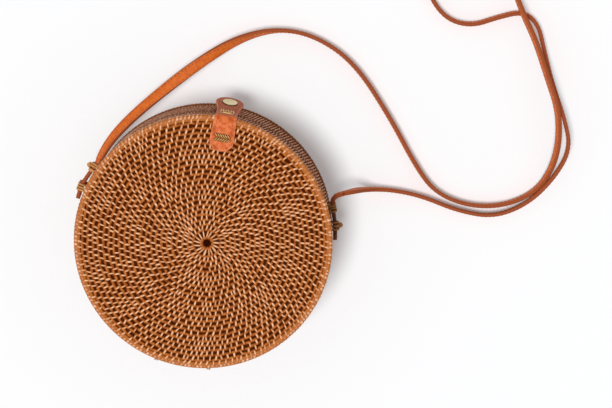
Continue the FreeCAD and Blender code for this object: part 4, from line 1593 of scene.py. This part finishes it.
@dataclass
class Strap:
    """The shoulder strap: its free length and its lashed ends, with thread along the edges."""

    SPAN_STEPS, ARC_STEPS, BEND_STEPS, TAIL_STEPS = 12, 16, 12, 7  # points of the lines
    STAND_OFF_FADE = 1.6  # above 1, the tail stands off in full before it comes in to the wall
    THREAD_LIFT = 0.02

    section: RibbonSection = field(default_factory=RibbonSection)
    wall_radius: float = 102.2
    height: float = 32.0
    tail_round: float = 3.5
    stitch_pitch: float = 3.3
    stitch_inset: float = 1.5
    stitch: Strand = Strand(1.8, 0.7, 0.5, 0.3, 6, 5)
    stitch_seed: int = 41
    left_twist: float = 30.0
    twist_run: float = 9.0
    left_angles: tuple[float, float] = (175.6, 157.8)
    left_bend: tuple[float, float] = (20.0, 10.0)
    right_angles: tuple[float, float] = (7.4, 23.0)
    right_bend: tuple[float, float] = (7.5, -86.0)
    right_lead: float = 4.0
    left_stand_off: float = 3.4

    def build(self, planter: StrandPlanter, finishes: Finishes) -> None:
        """Builds the strap and its ends.

        Args:
            planter: The strand planter.
            finishes: The bag's materials.
        """
        path = self._spline()
        spans = np.arange(len(path)) / ((len(path) - 1) / (len(STRAP_ROUTE) - 2))
        roll = np.radians(np.interp(spans, *np.array(STRAP_TURNS, float).T))
        piece = ribbon("shoulder_strap_leather", path, roll, self.section, finishes.strap)
        on_body(piece, Half.BACK.value, Slot.LEATHER, "shoulder_strap")
        self._sew("shoulder_strap_stitches", path, roll, planter, finishes.thread)
        self._end("strap_end_left", self._left_path(), self.left_twist, planter, finishes.strap, finishes.thread)
        # The right end takes the leather painted in the bag's shade
        self._end("strap_end_right", self._right_path(), 0.0, planter, finishes.tail, finishes.thread)

    def _spline(self) -> np.ndarray:
        """Points of the smooth line that the route's points control."""
        curve = bpy.data.curves.new("strap_line", "CURVE")
        curve.dimensions = "3D"
        curve.resolution_u = self.SPAN_STEPS
        spline = curve.splines.new("NURBS")
        spline.points.add(len(STRAP_ROUTE) - 1)
        for point, place in zip(spline.points, STRAP_ROUTE):
            point.co = (*(c * MM for c in place), 1.0)
        spline.order_u = 3
        spline.use_endpoint_u = True
        holder = new_object("strap_line", curve)
        mesh = bpy.data.meshes.new_from_object(holder)
        points = np.array([v.co for v in mesh.vertices], float) / MM
        bpy.data.objects.remove(holder)
        bpy.data.meshes.remove(mesh)
        return points

    def _sew(
        self, name: str, path: np.ndarray, roll: np.ndarray, planter: StrandPlanter, thread: Material
    ) -> None:
        """Plants stitches along both edges of both faces."""
        draw = random.Random(self.stitch_seed)
        wide, deep = ribbon_axes(path, roll)
        run = run_length(path)
        seats = []
        for at in np.arange(self.stitch_pitch, run[-1] - self.stitch_pitch, self.stitch_pitch):
            i = int(np.searchsorted(run, at))
            ahead = path[i] - path[i - 1]
            middle = path[i - 1] + (at - run[i - 1]) / (run[i] - run[i - 1]) * ahead
            for edge in (-1, 1):
                for face in (-1, 1):
                    inset = edge * (self.section.width / 2 - self.stitch_inset)
                    rise = face * (self.section.thickness / 2 + self.THREAD_LIFT)
                    place = middle + inset * wide[i] + rise * deep[i]
                    seats.append(Seat(place, ahead, face * deep[i], AS_IS, draw.random()))
        planter.plant(name, seats, self.stitch, thread, Half.BACK.value, Slot.LEATHER)

    def _arc(self, angles: tuple[float, float], stand_off: float = 0.0) -> np.ndarray:
        """Points along the wall between two angles, with a tail that stands off the wall."""
        turns = np.radians(np.linspace(*angles, self.ARC_STEPS))
        fade = np.minimum(1, np.linspace(self.STAND_OFF_FADE, 0, len(turns)))
        radius = self.wall_radius + stand_off * fade
        return np.column_stack((radius * np.cos(turns), radius * np.sin(turns), np.full(len(turns), self.height)))

    def _bend(self, start: np.ndarray, heading: float, bend: tuple[float, float]) -> tuple[np.ndarray, float]:
        """Points of a level bend and the heading after it, in degrees."""
        radius, turn = bend
        square = math.copysign(90.0, turn)
        centre = start + radius * level(math.radians(heading + square))
        steps = np.radians(heading - square + np.linspace(0, turn, self.BEND_STEPS)[1:])
        flat = radius * np.stack((np.cos(steps), np.sin(steps), 0 * steps), axis=-1)
        return centre + flat, heading + turn

    def _left_path(self) -> np.ndarray:
        """The left end's centre line, from its tail to the free strap."""
        arc = self._arc(self.left_angles, self.left_stand_off)
        turn, _ = self._bend(arc[-1], self.left_angles[1] - 90, self.left_bend)
        return np.concatenate((arc, turn))

    def _right_path(self) -> np.ndarray:
        """The right end's centre line, from its tail to the free strap."""
        arc = self._arc(self.right_angles)
        turn, heading = self._bend(arc[-1], self.right_angles[1] + 90, self.right_bend)
        lead = turn[-1] + self.right_lead * level(math.radians(heading))
        return np.concatenate((arc, turn, [lead]))

    def _end(
        self, node: str, path: np.ndarray, twist: float, planter: StrandPlanter, leather: Material, thread: Material
    ) -> None:
        """Builds a lashed end with its rounded tail and the twist that it leaves with, in degrees."""
        tail, half = self.tail_round, self.section.width / 2
        extra = np.linspace(0, 1, self.TAIL_STEPS)[1:-1, None] * (path[1] - path[0]) + path[0]
        path = np.concatenate((path[:1], extra, path[1:]))
        run = run_length(path)
        shares = (half - tail + np.sqrt(tail**2 - (tail - np.minimum(run, tail)) ** 2)) / half
        roll = np.radians(np.interp(run, (run[-1] - self.twist_run, run[-1]), (0.0, twist)))
        piece = ribbon(node + "_leather", path, roll, self.section, leather, shares)
        on_body(piece, Half.BACK.value, Slot.LEATHER, node)
        self._sew(node + "_stitches", path, roll, planter, thread)


@dataclass
class CaneKnot:
    """Turns of split cane that lash a strap end to the wall, some with a tied knob."""

    TILTS = ((1, 0, 0.2), (0.2, 1, 0.1), (0.3, -0.5, 1), (-0.6, 0.5, 0.8))  # axes of the knob's loops
    CROSS = (0.3, 0.2, 1.0)  # lies along none of the axes
    SLIP, SKEW = 0.15, 0.5  # spread of the turns' reach, and the most degrees that a turn leans by
    CORNER_STEPS, LOOP_STEPS = 6, 20

    node: str
    angle: float
    knob: bool
    seed: int
    stand_off: float = 0.0
    # Whether the knot takes the darker knot cane, painted shade for a knot in the bag's shadow
    smoked: bool = False
    strands: int = 4
    pitch: float = 1.75
    cane: float = 0.78
    height: float = 32.0
    reach: float = 104.75
    wall: float = 96.5
    rise: float = 5.55
    corner: float = 1.4
    knob_radius: float = 1.55
    knob_lift: float = 1.5

    def build(self, finishes: Finishes) -> None:
        """Builds the knot.

        Args:
            finishes: The bag's materials.
        """
        draw = random.Random(self.seed)
        bundle = StrandBundle()
        step = math.degrees(self.pitch / self.reach)
        for i in range(self.strands):
            angle = self.angle + (i - (self.strands - 1) / 2) * step
            slip = self.stand_off + draw.gauss(0, self.SLIP)
            path = self._turn(angle, slip, draw.uniform(-self.SKEW, self.SKEW))
            bundle.add(path, self.cane, draw.random())
        if self.knob:
            centre = self._at(self.angle, self.reach + self.stand_off + self.knob_lift, self.height)
            for tilt in self.TILTS:
                bundle.add(self._loop(centre, unit(np.array(tilt, float))), self.cane, draw.random(), True)
        bundle.lash(self.node, finishes.smoked if self.smoked else finishes.knot)

    @staticmethod
    def _at(degrees: float, radius: float, z: float) -> np.ndarray:
        """A point by its angle, radius and height."""
        return radius * level(math.radians(degrees)) + z * UP

    def _turn(self, angle: float, slip: float, skew: float) -> np.ndarray:
        """One turn of cane round the strap, from leg to leg."""
        corner = self.corner
        out, down = self.reach + slip - corner, -self.rise + corner
        quarter = np.linspace(0, math.pi / 2, self.CORNER_STEPS)
        low = [(self.wall, -self.rise)]
        low += [(out + corner * math.sin(a), down - corner * math.cos(a)) for a in quarter]
        high = [(r, -z) for r, z in reversed(low)]
        return np.array([self._at(angle + skew * z / self.rise, r, self.height + z) for r, z in low + high])

    def _loop(self, centre: np.ndarray, axis: np.ndarray) -> np.ndarray:
        """A small closed loop of the knob."""
        first = unit(np.cross(axis, self.CROSS))
        second = np.cross(axis, first)
        turns = full_turn(self.LOOP_STEPS)[:, None]
        return centre + self.knob_radius * (np.cos(turns) * first + np.sin(turns) * second)


KNOTS = (
    CaneKnot("strap_knot_left_upper", 160.0, True, 51, stand_off=0.6),
    CaneKnot("strap_knot_left_lower", 170.0, False, 52, stand_off=3.2),
    # The right knots lie in the bag's shadow and take the knot cane painted in shade
    CaneKnot("strap_knot_right_upper", 22.3, False, 53, smoked=True),
    CaneKnot("strap_knot_right_lower", 14.0, True, 54, smoked=True),
)


@dataclass
class HingeTies:
    """Two pairs of cane loops that hinge the halves together, pulled close to the wall."""

    SEEDS = {"hinge_tie_left": 5, "hinge_tie_right": 6}
    STEPS = 48
    WAVES = 3

    loop: float = 6.2
    strands: int = 2
    pitch: float = 1.75
    cane: float = 0.75
    waver: float = 0.08

    def build(self, finishes: Finishes) -> None:
        """Builds both ties.

        Args:
            finishes: The bag's materials.
        """
        turns = full_turn(self.STEPS)
        for node, seed in self.SEEDS.items():
            low, high = (np.array(corner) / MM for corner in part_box(node))
            middle = (low + high) / 2
            draw = random.Random(seed)
            bundle = StrandBundle()
            for i in range(self.strands):
                x = (i - (self.strands - 1) / 2) * self.pitch
                x = x + self.waver * np.sin(self.WAVES * turns + draw.uniform(0, TAU))
                ring = np.column_stack((x, self.loop * np.cos(turns), self.loop * np.sin(turns)))
                bundle.add(middle + ring, self.cane, draw.random(), True)
            bundle.lash(node, finishes.tie)


# The clasp


@dataclass
class LeatherRow:
    """A row across a leather sheet: its outer face in the clasp's plane, its half width and its curve.

    At a curve of 1 the row lies round the bag's axis, and at 0 it is straight.
    """

    y: float
    z: float
    half: float
    curve: float = 1.0


@dataclass
class Clasp:
    """The leather tongue with its flap, the back tab, the cane stitches and the press stud."""

    FIRST_TURN = 0.12  # where the rows of a round end start, so that the first has some width
    ROUND_ROWS, TOP_ROWS, CORNER_ROWS, WALL_ROWS = 9, 8, 9, 8
    BEND_ROWS, FLAP_ROWS, END_ROWS, BACK_ROWS = 8, 7, 10, 14
    ABOVE, BELOW = 4.2, 3.0  # where the leather's bend starts above the crease and ends below it
    BLEND_ABOVE, BLEND_BELOW = 2.6, 1.8  # where the leather passes from one body to the other
    WALL_SPREAD = 0.1
    BEVEL_ANGLE = 50.0
    RIM_FROM = 0.84  # share of a stud's radius from which its rim is painted dark, as shade and a reflection of the leather
    PATCH_LIFT, SHADE_LIFT, STITCH_LIFT = 0.45, 0.05, 0.6
    PATCH_SEED, STITCH_SEED = 7, 8
    WIDTHS = (0.9, 1.1)  # range of the stitches' stretch

    leather: float = 1.8
    tip: float = 73.5
    half_tip: float = 9.3
    half_neck: float = 8.2
    top: float = 78.1
    corner: tuple[float, float] = (96.1, 72.1)
    corner_radius: float = 6.0
    crease: tuple[float, float] = (102.1, 54.3)
    rest_angle: float = 15.5
    flap_length: float = 24.6
    flap_neck: float = 2.5
    half_flap: float = 11.0
    columns: int = 17
    bevel: float = 0.45
    stitch: Strand = Strand(7.2, 1.25, 1.9, 0.3)
    patch: Strand = Strand(4.2, 0.74, 1.3, 0.4, flare=0.4)
    runner: Strand = Strand(11.6, 1.7, 1.5, 0.12, rings=11)
    # The strand of the painted shadow under the patch
    shade: Strand = Strand(4.5, 1.9, 0.5, 0.2)
    stitch_count: int = 6
    stitch_pitch: float = 1.9
    stitch_lean: float = 7.0
    stitch_tilt: float = 18.0
    patch_count: int = 6
    patch_pitch: float = 1.88
    patch_lean: float = 42.0
    patch_rows: float = 3.16
    patch_from_tip: float = 10.5
    zigzag_height: float = 65.0
    runner_height: float = 70.4
    runner_sink: float = 0.1
    runner_facing: tuple[float, float, float] = (0.0, 0.8, 0.6)
    runner_tone: float = 0.7
    back_half: float = 9.0
    back_outer: float = 101.3

    def build(self, planter: StrandPlanter, finishes: Finishes, brass_nodes: dict[str, Object]) -> None:
        """Builds the clasp.

        Args:
            planter: The strand planter.
            finishes: The bag's materials.
            brass_nodes: The press stud's CAD nodes, by name.
        """
        self._tongue(finishes)
        self._back_tab(finishes)
        front, cane, outer = Half.FRONT.value, finishes.cane, self.crease[0]
        seats = self._patch_seats(self.PATCH_LIFT)
        planter.plant("front_tab_patch_cane", seats, self.patch, cane, front, Slot.CANE, "front_tab_panel_stitch")
        # Dark strands under the patch's cane: painted shadow in the gaps between its strands
        seats = self._patch_seats(self.SHADE_LIFT)
        planter.plant("front_tab_patch_underlay", seats, self.shade, finishes.core, front, Slot.CANE)
        seats = self._zigzag_seats(outer, self.zigzag_height)
        planter.plant("front_tab_zigzag_cane", seats, self.stitch, cane, front, Slot.CANE, "front_tab_wall_stitch")
        place = np.array((0.0, outer - self.runner_sink, self.runner_height))
        seat = Seat(place, np.array((1.0, 0.0, 0.0)), np.array(self.runner_facing), AS_IS, self.runner_tone)
        planter.plant("front_tab_runner_cane", [seat], self.runner, cane, front, Slot.CANE)
        low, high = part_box("back_tab_stitch")
        seats = self._zigzag_seats(self.back_outer, (low.z + high.z) / 2 / MM)
        back = Half.BACK.value
        planter.plant("back_tab_zigzag_cane", seats, self.stitch, cane, back, Slot.CANE, "back_tab_stitch")
        for node in brass_nodes.values():
            self._mark_rim(node.data)
            node.data.materials.clear()
            node.data.materials.append(finishes.brass)

    def _mark_rim(self, mesh: Mesh) -> None:
        """Gives a round piece the attribute rim, which rises from 0 to 1 at its outer edge, the mask for the brass's
        painted rim shade.
        """
        axis = np.array(max(mesh.polygons, key=lambda p: p.area).normal)
        points = np.array([v.co for v in mesh.vertices])
        points -= points.mean(axis=0)
        reach = np.linalg.norm(points - np.outer(points @ axis, axis), axis=1)
        rim = np.clip((reach / reach.max() - self.RIM_FROM) / (1 - self.RIM_FROM), 0, 1)
        add_values(mesh, "rim", "FLOAT", rim)

    def _tongue(self, finishes: Finishes) -> None:
        """One piece of leather from the panel, over the edge and down to the end of the flap."""
        piece = self._sheet("clasp_tongue", self._tongue_rows() + self._flap_rows(), finishes.tongue)
        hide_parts("front_tab", "flap_leather")
        y, z = self.crease
        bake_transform(piece)
        LOG.info("%s: %d faces", piece.name, len(piece.data.polygons))

    def _tongue_rows(self) -> list[LeatherRow]:
        """Rows of the tongue from its round tip to the start of the bend at the crease."""
        rows = []
        centre = self.tip + self.half_tip
        for reach, half in self._round(self.half_tip, self.ROUND_ROWS):
            rows.append(LeatherRow(centre - reach, self.top, half))
        corner_y, corner_z = self.corner
        for y in np.linspace(centre, corner_y, self.TOP_ROWS)[1:]:
            rows.append(LeatherRow(y, self.top, self._neck(y - centre)))
        for turn in np.linspace(0, math.pi / 2, self.CORNER_ROWS)[1:]:
            y = corner_y + self.corner_radius * math.sin(turn)
            z = corner_z + self.corner_radius * math.cos(turn)
            rows.append(LeatherRow(y, z, self._neck(y - centre)))
        axis_y, axis_z = self.crease
        for z in np.linspace(corner_z, axis_z + self.ABOVE, self.WALL_ROWS)[1:]:
            rows.append(LeatherRow(axis_y, z, self.half_neck + self.WALL_SPREAD))
        return rows

    def _flap_rows(self) -> list[LeatherRow]:
        """Rows of the flap from the bend at the crease to its round end."""
        rows = []
        lean = math.radians(self.rest_angle)
        down = np.array((math.sin(lean), -math.cos(lean)))
        out = np.array((math.cos(lean), math.sin(lean)))
        face = np.array(self.crease) + self.leather / 2 * out
        before = np.array(self.crease) + np.array((0.0, self.ABOVE))
        after = face + self.BELOW * down
        reach = np.linalg.norm(after - before)
        for t in np.linspace(0, 1, self.BEND_ROWS)[1:]:
            bent = (
                (2 * t**3 - 3 * t**2 + 1) * before
                + (t**3 - 2 * t**2 + t) * reach * np.array((0.0, -1.0))
                + (3 * t**2 - 2 * t**3) * after
                + (t**3 - t**2) * reach * down
            )
            rows.append(LeatherRow(*bent, self.half_neck, 1.0 - t))
        shoulder = self.flap_length - self.half_flap
        for d in np.linspace(self.BELOW, shoulder, self.FLAP_ROWS)[1:]:
            share = (d - self.flap_neck) / (shoulder - self.flap_neck)
            half = self.half_neck + share * (self.half_flap - self.half_neck)
            rows.append(LeatherRow(*(face + d * down), half, 0.0))
        for reach, half in self._round(self.half_flap, self.END_ROWS)[-2::-1]:
            rows.append(LeatherRow(*(face + (shoulder + reach) * down), half, 0.0))
        return rows

    def _round(self, half: float, rows: int) -> list[tuple[float, float]]:
        """Distance past the centre and half width of the rows of a round end, from its tip on."""
        turns = np.linspace(self.FIRST_TURN, math.pi / 2, rows)
        return [(half * math.cos(turn), half * math.sin(turn)) for turn in turns]

    def _neck(self, past_tip: float) -> float:
        """The tongue's half width at a distance past its round tip."""
        run = self.crease[0] - self.tip - self.half_tip
        return self.half_tip + (self.half_neck - self.half_tip) * min(1.0, past_tip / run)

    def _sheet(self, name: str, rows: list[LeatherRow], material: Material) -> Object:
        """Makes a leather sheet with rounded edges from the rows of its outer face.

        Args:
            name: The piece's name.
            rows: Rows from end to end.
            material: The leather.

        Returns:
            The piece.
        """
        run = run_length(np.array([(r.y, r.z) for r in rows]))
        points, border, uv = [], [], []
        for row, along in zip(rows, run):
            ends = min(along, run[-1] - along)
            for x in row.half * np.sin(np.linspace(-1, 1, self.columns) * math.pi / 2):
                dip = row.y - math.sqrt(row.y**2 - x**2) if row.curve else 0.0
                points.append((x, row.y - row.curve * dip, row.z))
                border.append(min(row.half - abs(x), ends))
                uv.append((x / UV_UNIT, along / UV_UNIT))
        faces = grid_faces(len(rows), self.columns)
        piece = new_piece(name + "_face", points, faces, material, floats={"border": border}, uv=uv, closed=False)
        if sum(p.normal.z + p.normal.y for p in piece.data.polygons) < 0:
            piece.data.flip_normals()
        thick = piece.modifiers.new("thickness", "SOLIDIFY")
        thick.thickness = self.leather * MM
        thick.offset = -1
        thick.use_even_offset = True
        soft = piece.modifiers.new("edges", "BEVEL")
        soft.width = self.bevel * MM
        soft.segments = 2
        soft.limit_method = "ANGLE"
        soft.angle_limit = math.radians(self.BEVEL_ANGLE)
        made = baked(piece, name)
        smooth(made.data)
        return made

    def _back_tab(self, finishes: Finishes) -> None:
        """The leather tab on the back half that carries the stud."""
        low, high = (corner.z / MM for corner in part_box("back_tab"))
        centre = high - self.back_half
        rows = []
        for reach, half in self._round(self.back_half, self.ROUND_ROWS):
            rows.append(LeatherRow(self.back_outer, centre + reach, half))
        for z in np.linspace(centre, low, self.BACK_ROWS)[1:]:
            rows.append(LeatherRow(self.back_outer, z, self.back_half))
        piece = self._sheet("back_tab_leather", rows, finishes.tongue)
        on_body(piece, Half.BACK.value, Slot.LEATHER, "back_tab")

    def _patch_seats(self, lift: float) -> list[Seat]:
        """Two rows of stitches that lean against each other on the panel, lifted off the leather."""
        draw = random.Random(self.PATCH_SEED)
        made = []
        for row, lean in ((-0.5, -self.patch_lean), (0.5, self.patch_lean)):
            y = self.tip + self.patch_from_tip + row * self.patch_rows
            along = level(math.radians(90 + lean))
            for i in range(self.patch_count):
                x = (i - (self.patch_count - 1) / 2) * self.patch_pitch
                place = np.array((x, y, self.top + lift))
                made.append(Seat(place, along, UP, (1.0, draw.uniform(*self.WIDTHS), 1.0), draw.random()))
        return made

    def _zigzag_seats(self, radius: float, z: float) -> list[Seat]:
        """A row of stitches that lean to alternate sides on curved leather."""
        draw = random.Random(self.STITCH_SEED)
        tilt = math.radians(self.stitch_tilt)
        made = []
        for i in range(self.stitch_count):
            turn = (i - (self.stitch_count - 1) / 2) * self.stitch_pitch / radius
            lean = math.radians(self.stitch_lean if i % 2 else -self.stitch_lean)
            normal = np.array((math.sin(turn), math.cos(turn), 0.0))
            side = np.array((math.cos(turn), -math.sin(turn), 0.0))
            along = math.sin(lean) * side + math.cos(lean) * UP
            place = normal * (radius + self.STITCH_LIFT) + z * UP
            raised = math.cos(tilt) * normal + math.sin(tilt) * UP
            made.append(Seat(place, along, raised, (1.0, draw.uniform(*self.WIDTHS), 1.0), draw.random()))
        return made


# Studio


@dataclass
class Studio:
    """The pale floor, the soft light and the camera."""

    FLOOR_TINT = (0.99, 0.995, 1.01)
    FLOOR_ROUGHNESS, FLOOR_SPECULAR = 0.9, 0.1

    floor_size: float = 6.0
    floor_drop: float = 0.4
    floor_white: float = 0.78
    floor_lift: float = 0.14
    sky: float = 0.395
    sun: float = 2.27
    sun_from: tuple[float, float] = (212.0, 78.3)
    sun_softness: float = 18.0
    camera_place: tuple[float, float, float] = (37.89, 264.99, 1280.49)
    camera_turn: tuple[float, float, float] = (-10.449, 0.342, 10.7)
    lens: float = 94.12
    sensor: float = 36.0

    def build(self) -> None:
        """Sets up the floor, the world, the lamp and the camera."""
        scene = bpy.context.scene
        scene.view_settings.view_transform = "Standard"
        self._floor()
        self._world(scene)
        self._lamp()
        self._camera(scene)

    @staticmethod
    def _seen(graph: Graph) -> NodeSocket:
        """One for rays that show the background itself, in the picture or in a reflection."""
        path = graph.node("ShaderNodeLightPath").outputs
        shown = graph.math("MAXIMUM", path["Is Camera Ray"], path["Is Glossy Ray"])
        return graph.math("MAXIMUM", shown, path["Is Transmission Ray"])

    def _floor(self) -> None:
        """A white floor that keeps the bag's shadow."""
        half = self.floor_size / MM / 2
        corners = [(x * half, y * half, -self.floor_drop) for x, y in ((-1, -1), (1, -1), (1, 1), (-1, 1))]
        made, graph, shader = new_material("white_floor")
        looks = {
            "Base Color": (*(self.floor_white * t for t in self.FLOOR_TINT), 1.0),
            "Roughness": self.FLOOR_ROUGHNESS,
            "Specular IOR Level": self.FLOOR_SPECULAR,
        }
        graph.feed(shader, looks)
        glow = graph.node("ShaderNodeEmission", {"Strength": graph.times(self._seen(graph), self.floor_lift)})
        both = graph.node("ShaderNodeAddShader", {0: shader.outputs[0], 1: glow.outputs[0]})
        graph.feed(made.node_tree.nodes["Material Output"], {"Surface": both.outputs[0]})
        floor = new_piece("floor", corners, [(0, 1, 2, 3)], made, closed=False)

    def _world(self, scene: Scene) -> None:
        """An even pale sky that shows as white."""
        world = bpy.data.worlds.new("studio_sky")
        world.use_nodes = True
        scene.world = world
        graph = Graph(world.node_tree)
        strength = graph.math("MULTIPLY_ADD", self._seen(graph), 1.0 - self.sky, self.sky)
        back = world.node_tree.nodes["Background"]
        graph.feed(back, {"Color": (1.0, 1.0, 1.0, 1.0), "Strength": strength})

    def _lamp(self) -> None:
        """One soft lamp from the lower left of the picture."""
        lamp = bpy.data.lights.new("softbox", "SUN")
        lamp.energy = self.sun
        lamp.angle = math.radians(self.sun_softness)
        holder = new_object("softbox", lamp)
        heading, rise = (math.radians(a) for a in self.sun_from)
        towards = Vector(math.cos(rise) * level(heading) + math.sin(rise) * UP)
        holder.rotation_euler = towards.to_track_quat("Z", "Y").to_euler()

    def _camera(self, scene: Scene) -> None:
        """The photograph's view."""
        camera = bpy.data.cameras.new("camera")
        camera.lens = self.lens
        camera.sensor_width = self.sensor
        camera.sensor_fit = "HORIZONTAL"
        camera.clip_start = 0.01
        holder = new_object("camera", camera)
        holder.location = [c * MM for c in self.camera_place]
        holder.rotation_euler = [math.radians(a) for a in self.camera_turn]
        scene.camera = holder


def main() -> None:
    """Loads the frame and builds each part of the bag around it."""
    logging.basicConfig(level=logging.INFO, format="%(message)s")
    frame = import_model()
    Studio().build()
    finishes = Finishes()
    planter = StrandPlanter()
    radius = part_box("front_corner_coil")[1].x / MM
    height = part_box("front_corner_coil")[1].z / MM
    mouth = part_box("back_rim_binding")[1].z / MM + WovenHalf.parting
    Strap().build(planter, finishes)
    halves = (
        WovenHalf(Half.FRONT, height - mouth, radius, height, seed=11, swirl=(3.0, 0.8), wall_rows=6),
        WovenHalf(Half.BACK, mouth, radius, 0.0, seed=23, swirl=(-1.5, 1.0), wall_rows=9),
    )
    for half in halves:
        half.build(planter, finishes)
    Clasp().build(planter, finishes, {n: frame["nodes"][n] for n in ("snap_cap", "snap_socket", "snap_stud")})
    for knot in KNOTS:
        knot.build(finishes)
    HingeTies().build(finishes)


if __name__ == "__main__":
    main()
